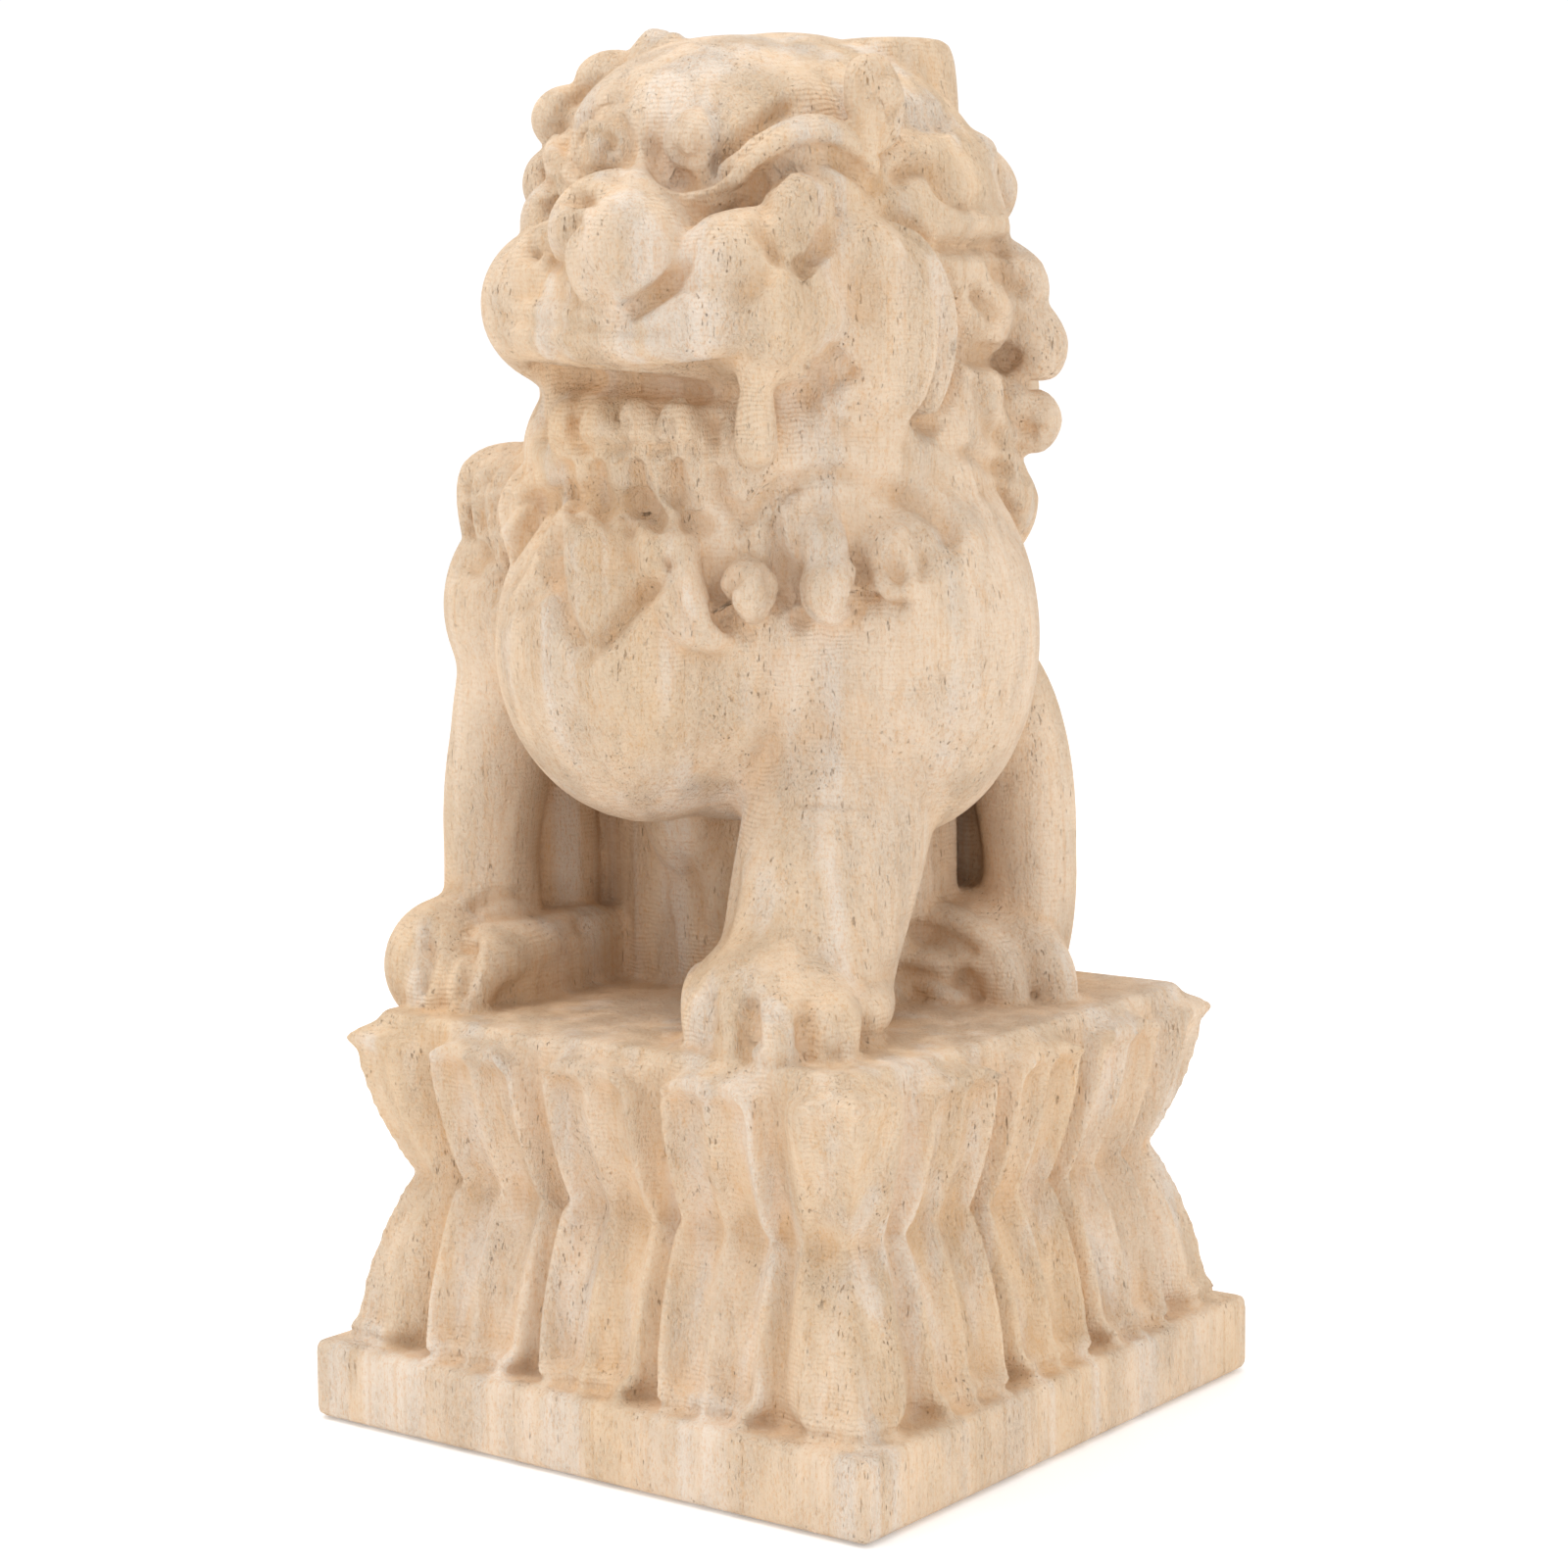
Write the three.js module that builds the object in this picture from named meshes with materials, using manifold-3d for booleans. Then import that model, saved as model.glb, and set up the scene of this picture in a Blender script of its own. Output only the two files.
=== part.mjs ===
// Guardian lion statue: a seated lion on a two-tier lotus plinth and a square slab,
// carved from one block of wood. Millimetres, +Z up, origin in the middle of the
// underside. The lion's head looks along -Y; its chest is turned to the near corner.
import * as THREE from 'three';
import { mergeVertices } from 'three/addons/utils/BufferGeometryUtils.js';
import Module from 'manifold-3d';

// Driving dimensions
const SLAB_WIDTH = 80;
const SLAB_HEIGHT = 9.25;
const SLAB_CORNER_RADIUS = 2.2;
const LOTUS_TOP_WIDTH = 71.4;
const LOTUS_FOOT_WIDTH = 72;
const WAIST_WIDTH = 61;
const LOTUS_CORNER_RADIUS = 2.5;
const LOWER_TIER_HEIGHT = 19.5;
const UPPER_TIER_HEIGHT = 19.35;
const RIM_HEIGHT = 1.6;
const PETALS_PER_SIDE = 3;
const UPPER_PETAL_GAP = 2.6;
const LOWER_PETAL_GAP = 0.6;
const CORNER_PETAL_REACH = 10.2;
const PETAL_FAN = 0.95;
const PETAL_RELIEF = 2.6;
const PETAL_FLUTE_DEPTH = 1.1;
const PETAL_SWELL = 1.9;
const WAIST_BAND = 0.8;
const LOWER_TIP_CLEARANCE = 0.6;
const LION_HEIGHT = 112;
const FINEST_EDGE = 0.85;
const BODY_TURN = THREE.MathUtils.degToRad(36.87);
const WOOD_COLOUR = '#e7d0b2';

const LOTUS_BASE = SLAB_HEIGHT;
const WAIST_LEVEL = LOTUS_BASE + LOWER_TIER_HEIGHT;
const LOTUS_TOP = WAIST_LEVEL + UPPER_TIER_HEIGHT;

// The lion's forms are drawn for this height, in shares of it
const DRAWN_HEIGHT = 112;
const LION_SCALE = LION_HEIGHT / DRAWN_HEIGHT;

const wasm = await Module();
wasm.setup();

// A closed geometry as a solid that can be joined and cut
function solidOf(geometry) {
  const bare = geometry.clone();
  bare.deleteAttribute('normal');
  bare.deleteAttribute('uv');
  const merged = mergeVertices(bare, 1e-4);
  return new wasm.Manifold(new wasm.Mesh({
    numProp: 3,
    vertProperties: new Float32Array(merged.attributes.position.array),
    triVerts: new Uint32Array(merged.index.array),
  }));
}

function joined(solids) {
  return solids.reduce((whole, next) => whole.add(next));
}

// Places on the lion: sideways, forward and up from the middle of the lotus top
function turnedPlace(turn, side, front, up) {
  const x = side * Math.cos(turn) + front * Math.sin(turn);
  const y = side * Math.sin(turn) - front * Math.cos(turn);
  return new THREE.Vector3(x, y, up).multiplyScalar(LION_SCALE).add(new THREE.Vector3(0, 0, LOTUS_TOP));
}

const onBody = (side, front, up) => turnedPlace(BODY_TURN, side, front, up);
const onHead = (side, front, up) => turnedPlace(0, side, front, up);

// A rounded mass with its own three radii, turned with the body or the head
function mass(place, at, radii, { detail = 2 } = {}) {
  const geometry = new THREE.IcosahedronGeometry(1, detail);
  const matrix = new THREE.Matrix4().makeRotationZ(place === onBody ? BODY_TURN : 0);
  matrix.scale(new THREE.Vector3(...radii).multiplyScalar(LION_SCALE));
  matrix.setPosition(place(...at));
  return solidOf(geometry.applyMatrix4(matrix));
}

// A limb, toe, lip or lock: a rounded bar along a curve, with its width given at each point
function strand(place, points, widths, { flatness = 1, rings = 6, sides = 6, blunt = 0.45 } = {}) {
  const curve = new THREE.CatmullRomCurve3(points.map((point) => place(...point)));
  const geometry = new THREE.SphereGeometry(1, sides, rings);
  const position = geometry.attributes.position;
  for (let i = 0; i < position.count; i += 1) {
    const t = THREE.MathUtils.clamp((1 - position.getY(i)) / 2, 0, 1);
    const along = curve.getTangent(t);
    const middle = curve.getPoint(t);
    const out = new THREE.Vector3(middle.x, middle.y, 0).normalize();
    out.addScaledVector(along, -out.dot(along)).normalize();
    const across = new THREE.Vector3().crossVectors(out, along);
    const ring = Math.hypot(position.getX(i), position.getZ(i));
    const fullness = ring > 1e-6 ? ring ** blunt / ring : 0;
    const reach = t * (widths.length - 1);
    const step = Math.min(Math.floor(reach), widths.length - 2);
    const width = THREE.MathUtils.lerp(widths[step], widths[step + 1], reach - step) * LION_SCALE;
    middle.addScaledVector(across, position.getX(i) * fullness * width);
    middle.addScaledVector(out, position.getZ(i) * fullness * width * flatness);
    position.setXYZ(i, middle.x, middle.y, middle.z);
  }
  return solidOf(geometry);
}

// A square with round corners, as a list of points
function roundedSquare(width, radius, cornerSteps) {
  const points = [];
  for (let corner = 0; corner < 4; corner += 1) {
    for (let step = 0; step <= cornerSteps; step += 1) {
      const angle = (corner + step / cornerSteps) * Math.PI / 2;
      const centre = width / 2 - radius;
      const signX = corner === 0 || corner === 3 ? 1 : -1;
      const signY = corner < 2 ? 1 : -1;
      points.push(new THREE.Vector2(
        signX * centre + radius * Math.cos(angle),
        signY * centre + radius * Math.sin(angle),
      ));
    }
  }
  return points;
}

// Rounded squares stacked into one closed body, each level with its own width
function stackedSquares(levels, cornerRadius, cornerSteps) {
  const loops = levels.map(({ width }) => roundedSquare(width, cornerRadius, cornerSteps));
  const count = loops[0].length;
  const positions = [];
  const index = [];
  loops.forEach((loop, i) => loop.forEach((p) => positions.push(p.x, p.y, levels[i].height)));
  for (let level = 0; level < levels.length - 1; level += 1) {
    for (let i = 0; i < count; i += 1) {
      const next = (i + 1) % count;
      const low = level * count;
      const high = low + count;
      index.push(low + i, low + next, high + next, low + i, high + next, high + i);
    }
  }
  const bottom = positions.length / 3;
  positions.push(0, 0, levels[0].height, 0, 0, levels[levels.length - 1].height);
  const topLoop = (levels.length - 1) * count;
  for (let i = 0; i < count; i += 1) {
    const next = (i + 1) % count;
    index.push(bottom, next, i, bottom + 1, topLoop + i, topLoop + next);
  }
  const geometry = new THREE.BufferGeometry();
  geometry.setAttribute('position', new THREE.Float32BufferAttribute(positions, 3));
  geometry.setIndex(index);
  return solidOf(geometry);
}

// An upright block square to the slab, from corners given sideways and forward
function block(corners, low, high) {
  const shape = new THREE.Shape(corners.map(([side, front]) => new THREE.Vector2(side, -front)));
  const geometry = new THREE.ExtrudeGeometry(shape, { depth: high - low, bevelEnabled: false });
  geometry.translate(0, 0, low);
  geometry.scale(LION_SCALE, LION_SCALE, LION_SCALE);
  geometry.translate(0, 0, LOTUS_TOP);
  return solidOf(geometry);
}

function slab() {
  const shape = new THREE.Shape(roundedSquare(SLAB_WIDTH, SLAB_CORNER_RADIUS, 3));
  return solidOf(new THREE.ExtrudeGeometry(shape, { depth: SLAB_HEIGHT, bevelEnabled: false }));
}

// How far a petal has swung out at a share of its way from the waist to its tip
const swell = (share) => 1 - (1 - share) ** PETAL_SWELL;

// The plain body of the plinth, close behind the petals
function lotusCore() {
  const level = (tip, share) => ({
    height: THREE.MathUtils.lerp(WAIST_LEVEL, tip.height, share),
    width: THREE.MathUtils.lerp(WAIST_WIDTH, tip.width, swell(share)),
  });
  const foot = { height: LOTUS_BASE, width: LOTUS_FOOT_WIDTH - 1.4 * PETAL_RELIEF };
  const top = { height: LOTUS_TOP - RIM_HEIGHT, width: LOTUS_TOP_WIDTH - 0.8 * PETAL_RELIEF };
  return stackedSquares([
    { height: LOTUS_BASE - SLAB_HEIGHT / 4, width: foot.width },
    level(foot, 0.9),
    level(foot, 0.5),
    level(foot, 0.2),
    level(top, 0.03),
    level(top, 0.25),
    level(top, 0.6),
    level(top, 0.95),
    { height: LOTUS_TOP, width: LOTUS_TOP_WIDTH - RIM_HEIGHT / 2 },
  ], LOTUS_CORNER_RADIUS, 2);
}

// One petal: a curved plate from the waist (share 0) to its round tip (share 1), with
// raised rims and a middle ridge between two flutes
function petal({ waist, tip, halfWidth, foot, centre, outward, bend = 0 }) {
  const columns = [-1, -0.78, -0.4, 0, 0.4, 0.78, 1];
  const rims = [0, 1, 0, 0.8, 0, 1, 0];
  const rows = [0, 0.24, 0.58, 0.87, 1];
  const along = new THREE.Vector3(-outward.y, outward.x, 0);
  const positions = [];
  const index = [];
  const front = (row, column) => row * columns.length + column;
  const back = (row, column) => rows.length * columns.length + front(row, column);
  for (const depth of [0, -2 * PETAL_RELIEF]) {
    rows.forEach((share) => {
      const out = THREE.MathUtils.lerp(waist.out, tip.out, swell(share));
      const height = THREE.MathUtils.lerp(waist.height, tip.height, share);
      const tipRound = Math.sqrt(1 - Math.max(0, (share - 0.7) / 0.31) ** 2);
      const half = halfWidth * THREE.MathUtils.lerp(foot, 1, share) * tipRound;
      columns.forEach((column, c) => {
        const relief = PETAL_FLUTE_DEPTH * rims[c] * Math.min(1, tipRound * 1.4);
        const edgeDrop = Math.abs(column) === 1 ? -PETAL_RELIEF * 0.7 : 0;
        const fan = centre * THREE.MathUtils.lerp(PETAL_FAN, 1, share);
        const bent = bend * THREE.MathUtils.lerp(foot, 1, share) * column ** 2;
        const face = depth ? depth : relief + edgeDrop;
        const place = outward.clone().multiplyScalar(out + face - bent);
        place.addScaledVector(along, fan + column * half);
        positions.push(place.x, place.y, height);
      });
    });
  }
  const quad = (a, b, c, d) => index.push(a, b, c, a, c, d);
  const lastRow = rows.length - 1;
  const lastColumn = columns.length - 1;
  for (let r = 0; r < lastRow; r += 1) {
    for (let c = 0; c < lastColumn; c += 1) {
      quad(front(r, c), front(r, c + 1), front(r + 1, c + 1), front(r + 1, c));
      quad(back(r, c + 1), back(r, c), back(r + 1, c), back(r + 1, c + 1));
    }
    quad(back(r, 0), front(r, 0), front(r + 1, 0), back(r + 1, 0));
    quad(front(r, lastColumn), back(r, lastColumn), back(r + 1, lastColumn), front(r + 1, lastColumn));
  }
  for (let c = 0; c < lastColumn; c += 1) {
    quad(back(0, c), back(0, c + 1), front(0, c + 1), front(0, c));
    quad(front(lastRow, c), front(lastRow, c + 1), back(lastRow, c + 1), back(lastRow, c));
  }
  if (tip.height < waist.height) {
    for (let i = 0; i < index.length; i += 3) {
      [index[i], index[i + 1]] = [index[i + 1], index[i]];
    }
  }
  const geometry = new THREE.BufferGeometry();
  geometry.setAttribute('position', new THREE.Float32BufferAttribute(positions, 3));
  geometry.setIndex(index);
  return solidOf(geometry);
}

function petals() {
  const tiers = [
    { height: LOTUS_TOP - RIM_HEIGHT, width: LOTUS_TOP_WIDTH, gap: UPPER_PETAL_GAP },
    { height: LOTUS_BASE + LOWER_TIP_CLEARANCE, width: LOTUS_FOOT_WIDTH, gap: LOWER_PETAL_GAP },
  ];
  const up = new THREE.Vector3(0, 0, 1);
  const found = [];
  for (const { height, width, gap } of tiers) {
    const level = WAIST_LEVEL + Math.sign(height - WAIST_LEVEL) * WAIST_BAND / 2;
    const waist = { height: level, out: WAIST_WIDTH / 2 + PETAL_RELIEF * 0.3 };
    const tip = { height, out: width / 2 };
    const pitch = (width - 2 * CORNER_PETAL_REACH) / PETALS_PER_SIDE;
    const diagonal = (half) => half * Math.SQRT2 - LOTUS_CORNER_RADIUS * (Math.SQRT2 - 1);
    for (let side = 0; side < 4; side += 1) {
      const outward = new THREE.Vector3(0, -1, 0).applyAxisAngle(up, side * Math.PI / 2);
      for (let i = 0; i < PETALS_PER_SIDE; i += 1) {
        const centre = (i - (PETALS_PER_SIDE - 1) / 2) * pitch;
        found.push(petal({ waist, tip, halfWidth: (pitch - gap) / 2, foot: 0.96, centre, outward }));
      }
      found.push(petal({
        waist: { height: level, out: diagonal(waist.out) },
        tip: { height, out: diagonal(tip.out) },
        halfWidth: CORNER_PETAL_REACH * Math.SQRT1_2,
        foot: 0.72,
        centre: 0,
        outward: outward.clone().applyAxisAngle(up, Math.PI / 4),
        bend: CORNER_PETAL_REACH * Math.SQRT1_2 * 0.85,
      }));
    }
  }
  return joined(found);
}

// Corners of the core that the carver left under the belly, sideways and forward
const CORE_CORNERS = [
  [-25, -2.7], [-11, -2.7], [-11, 0], [14, 0], [14, -20], [-16, -24], [-28, -13], [-33, -7],
];

// Corners of the long right hind foot
const FOOT_CORNERS = [[-38.5, 8], [-37, 21], [-25, 23], [-22.3, 20], [-22.3, -4], [-36, -4]];

// Chest, belly, back and the core between the legs
function trunk() {
  return joined([
    block(CORE_CORNERS, -3, 34),
    mass(onBody, [-3, 2, 44], [29, 24, 25]),
    mass(onBody, [-15, 7, 41], [18, 19.5, 22]),
    mass(onBody, [13, 8, 43], [16.5, 19.5, 23]),
    mass(onBody, [0, -14, 33], [28, 19.5, 32]),
    mass(onBody, [-2, 0, 64], [28, 27, 17]),
    mass(onBody, [-1, 13, 56], [20.5, 13, 10.5], { detail: 1 }),
    mass(onBody, [-27.5, -9, 46], [13, 13, 14], { detail: 1 }),
    mass(onBody, [-20, -20, 14], [14, 12, 22], { detail: 1 }),
    mass(onBody, [19, -19, 14], [14, 12, 22], { detail: 1 }),
  ]);
}

// Toes side by side, each a rounded bar from the instep down to the floor
function toes(place, tips, { back, rise, width }) {
  return joined(tips.map(([side, front]) => strand(
    place,
    [[side, back, rise], [side, (back + front) / 2, rise], [side, front - width / 2, rise * 0.8], [side, front, -0.5]],
    [width, width, width, width],
    { rings: 5, blunt: 0.3 },
  )));
}

function limbs() {
  const rightHind = joined([
    strand(onBody, [[-27, -9, 44], [-30.2, -9, 30], [-30.8, -9, 16], [-31, -9, 1]], [10, 7, 5.6, 6.5],
      { flatness: 1.4, sides: 8, blunt: 0.3 }),
    block(FOOT_CORNERS, -3, 6),
    mass(onBody, [-31, -8, 6], [8, 8, 7], { detail: 1 }),
    toes(onHead, [[-36.2, 24], [-30.6, 28.4], [-25, 27.4]], { back: 8, rise: 4.6, width: 3.4 }),
  ]);
  const leftFore = joined([
    strand(onBody, [[9, 5, 48], [6, 15, 26], [2.4, 21.5, 10], [0, 25, -3]], [13, 11.2, 10.8, 10.4],
      { sides: 10, rings: 8, blunt: 0.3 }),
    mass(onBody, [-2, 28, 3], [9.5, 11, 7], { detail: 1 }),
    toes(onBody, [[-9.4, 28.5], [-6, 35.8], [-0.9, 41], [5, 39.4]], { back: 20, rise: 7, width: 3 }),
    strand(onBody, [[8, 16, 6], [8.6, 26, 4], [8.2, 33.5, 3]], [3.6, 3.6, 3.2]),
  ]);
  const leftHind = joined([
    strand(onBody, [[22, -8, 40], [25.6, -6.5, 30], [25.6, -5, 16], [25, -6, 1]], [8.6, 7.6, 6, 6.6],
      { flatness: 1.3, sides: 8, blunt: 0.3 }),
    mass(onHead, [13, -17, 3.5], [14, 9.5, 8], { detail: 1 }),
    strand(onHead, [[2, -12, 9], [12, -11.4, 8.4], [21, -11, 5.4], [25.4, -11, -1]], [3, 3.2, 3.2, 3.2]),
    strand(onHead, [[2, -8, 4], [10, -7.8, 4], [16, -7.8, 2.8], [19.4, -8.4, -1]], [2.8, 3, 3, 2.8]),
    strand(onHead, [[8, -17, 10], [18, -17, 8.4], [25, -16.4, 4.8], [28.4, -16, -1]], [3, 3.4, 3.4, 3.4]),
  ]);
  return joined([rightHind, leftFore, leftHind]);
}

// Bells, collar folds and hanging locks on the chest
function chestCarving() {
  const bells = [
    mass(onBody, [-3.5, 28, 49.5], [4.2, 4.4, 4.6], { detail: 1 }),
    mass(onBody, [5.4, 28, 49.5], [3.9, 4.4, 4.4], { detail: 1 }),
    strand(onBody, [[4.8, 23, 60], [5.2, 26.5, 55], [5.4, 27, 50]], [2, 3, 3.6], { rings: 5 }),
  ];
  const curls = [
    strand(onBody, [[-9, 22, 60], [-12, 25, 53], [-9.5, 26.5, 46], [-5, 26, 44]], [3, 3.4, 3, 1.6]),
    strand(onBody, [[17, 18, 60], [19, 20, 53], [13, 25, 48.5], [9.5, 26, 51]], [3, 4, 3.6, 2]),
    mass(onBody, [12.5, 22, 53], [5, 4.6, 4.4], { detail: 1 }),
  ];
  const locks = [
    strand(onBody, [[-18.6, 17, 60], [-21.6, 19.4, 53], [-21, 20.6, 41]], [5, 6.4, 1.2], { flatness: 0.7 }),
    strand(onBody, [[-13, 22, 60], [-12.6, 24.4, 54], [-15, 24.4, 46]], [3.6, 4, 1.2], { flatness: 0.7 }),
    strand(onBody, [[15, 17, 65], [19, 16, 60], [23, 13, 53]], [3, 3, 1.5]),
    strand(onBody, [[24, 5, 66], [27, 2, 59], [27, 1, 51]], [3.2, 4, 1.4]),
  ];
  const fan = [0, 1, 2, 3].map((i) => strand(
    onBody,
    [[-28 + i, i * 3.2 - 4, 64], [-35 + i * 1.9, i * 4 - 6, 61 - i], [-37 + i * 2.8, i * 4.4 - 6, 52 - i * 2.2]],
    [2.4, 3.2, 1],
  ));
  return joined([...bells, ...curls, ...locks, ...fan]);
}

// Skull, muzzle with its nose, jaw with the lower teeth, jowls, eyes and brows
function face() {
  const skull = [
    mass(onHead, [-1, -2, 87], [27.4, 25.4, 25.4], { detail: 2 }),
    mass(onHead, [0, -4, 72], [25, 24, 15], { detail: 1 }),
    mass(onHead, [-4, 5, 98], [19, 20, 13], { detail: 1 }),
  ];
  const muzzle = [
    mass(onHead, [-1, 15, 81], [21, 18, 11], { detail: 1 }),
    mass(onHead, [-15, 20, 81], [9, 11, 9.5], { detail: 1 }),
    mass(onHead, [14, 19, 80], [9, 10.5, 9], { detail: 1 }),
    mass(onHead, [-0.5, 24, 86], [8, 10, 10], { detail: 1 }),
    mass(onHead, [10.4, 24, 84.5], [7.5, 7, 5], { detail: 1 }),
    mass(onHead, [-10.4, 25, 84.5], [6, 6.5, 5], { detail: 1 }),
    strand(onHead, [[-20, 23, 79], [-11, 30, 77], [1, 33, 76], [12, 31, 76.6], [19, 25, 79.5]],
      [4.4, 4, 3.6, 4, 5], { rings: 8 }),
    mass(onHead, [17.2, 23.6, 79], [6.4, 6, 7.6], { detail: 1 }),
  ];
  const lowerTeeth = [-9.5, -4.2, 1.2, 6.4];
  const jaw = [
    mass(onHead, [-1, 12, 66], [18.5, 17, 6], { detail: 1 }),
    ...lowerTeeth.map((side) => mass(
      onHead,
      [side, 27.6 - Math.abs(side + 1) * 0.14, 68.4],
      [2.4, 2.4, 3.6],
      { detail: 1 },
    )),
    strand(onHead, [[16.5, 25, 77], [16, 25.5, 71], [16.5, 25, 65]], [2, 1.6, 2.2], { rings: 5 }),
    mass(onHead, [18.4, 24.2, 67.2], [2.8, 2.6, 3], { detail: 1 }),
  ];
  const bothSides = [-1, 1];
  const jowls = bothSides.map((way) => strand(
    onHead,
    [[way * 18.4, 19, 87], [way * 23.6, 13, 86], [way * 25, 9, 78], [way * 24, 9.6, 70], [way * 20.4, 12, 63]],
    [4, 4.8, 4.8, 4.2, 3],
    { rings: 8 },
  ));
  const eyes = bothSides.map((way) => mass(onHead, [way * 17.8, 20.6, 90], [3.9, 4.2, 5], { detail: 1 }));
  const brows = bothSides.flatMap((way) => [
    strand(onHead, [[way * 2.5 - 1, 22, 94], [way * 9.5 - 1, 21.8, 94.2], [way * 16, 21, 98.6],
      [way * 20, 16.5, 100.6], [way * 23.4, 12, 95]], [2, 2.6, 3.2, 3.2, 2.4], { rings: 8, sides: 6 }),
    mass(onHead, [way * 6.6 - 1.4, 21.6, 98.2], [3.6, 3.6, 3.6], { detail: 1 }),
  ]);
  return joined([...skull, ...muzzle, ...jaw, ...jowls, ...eyes, ...brows]);
}

// Ears, curls above the brow and the tiers of mane locks round the back of the head
function mane() {
  const ear = { side: 8.4, front: -10.5, low: 94, high: 111, half: 8.3 };
  const horn = { side: -17.2, front: 0.4, low: 98, high: 113.5, half: 5.4 };
  const upright = ({ side, front, low, high, half }, taper, form) => strand(
    onHead,
    [[side, front, low], [side, front, (low + high) / 2], [side, front, high]],
    [half, half, half * taper],
    { sides: 4, rings: 4, ...form },
  );
  const crownCurls = [[-23.8, 8, 103.5], [-23.4, 12, 95], [-20.4, 5, 107]].map(
    (at) => mass(onHead, at, [4.2, 4.4, 3.9], { detail: 1 }),
  );
  const tiers = [
    { top: 100, bottom: 89, radius: 25.5, width: 5, first: -8, last: 188, count: 7 },
    { top: 90, bottom: 77, radius: 27, width: 5.4, first: 8, last: 172, count: 6 },
    { top: 79, bottom: 64, radius: 28, width: 5.8, first: -2, last: 182, count: 7 },
    { top: 66, bottom: 50, radius: 27, width: 5.6, first: 16, last: 164, count: 5 },
  ];
  const locks = tiers.flatMap(({ top, bottom, radius, width, first, last, count }) => {
    const found = [];
    for (let i = 0; i < count; i += 1) {
      const angle = THREE.MathUtils.degToRad(first + (last - first) * i / (count - 1));
      const lean = i < count / 2 ? 0.09 : -0.09;
      const point = (turn, out, up) => [Math.cos(angle + turn) * out, -Math.sin(angle + turn) * out, up];
      found.push(strand(
        onHead,
        [point(0, radius - 5, top), point(lean, radius, (top + bottom) / 2), point(lean * 3, radius + 0.5, bottom)],
        [width * 0.7, width, width * 0.45],
        { flatness: 0.75, rings: 5, sides: 5 },
      ));
    }
    return found;
  });
  return joined([
    upright(ear, 1, { blunt: 0.12 }),
    upright(horn, 0.55, { sides: 6, blunt: 0.2 }),
    ...crownCurls,
    ...locks,
  ]);
}

// Spine and the flame-shaped tail that lies against the back
function tail() {
  const spine = strand(onBody, [[0, -26, 58], [0, -32, 42], [0, -33, 24], [0, -30, 6]], [4, 4.4, 4.4, 5]);
  const flames = [-1, 0, 1].map((way) => strand(
    onBody,
    [[way * 4, -32, 8], [way * 9, -34, 22], [way * 7, -35, 34], [way * 2, -34, 44 + 6 * (1 - Math.abs(way))]],
    [4, 4.6, 3.6, 1],
    { flatness: 0.6 },
  ));
  return joined([spine, ...flames]);
}

// Recesses: mouth, mouth corner, gap between foot and fore paw, scooped floor
function recesses() {
  return joined([
    strand(onHead, [[-20, 25, 72.5], [-1, 33, 72.2], [14.5, 28, 72]], [1.7, 1.9, 1.5], { flatness: 3 }),
    mass(onHead, [22.6, 20.5, 71.5], [3.8, 5.6, 4.6]),
    mass(onBody, [1.2, 31, 45.6], [1.8, 4, 1.8], { detail: 1 }),
  ]);
}

function lion() {
  const carved = joined([trunk(), limbs(), chestCarving(), face(), mane(), tail()]);
  return carved.subtract(recesses());
}

function statue() {
  const block = solidOf(new THREE.BoxGeometry(SLAB_WIDTH, SLAB_WIDTH, 4 * LION_HEIGHT));
  const aboveLotus = lion().intersect(block);
  return joined([slab(), lotusCore(), petals()]).add(aboveLotus);
}

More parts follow.
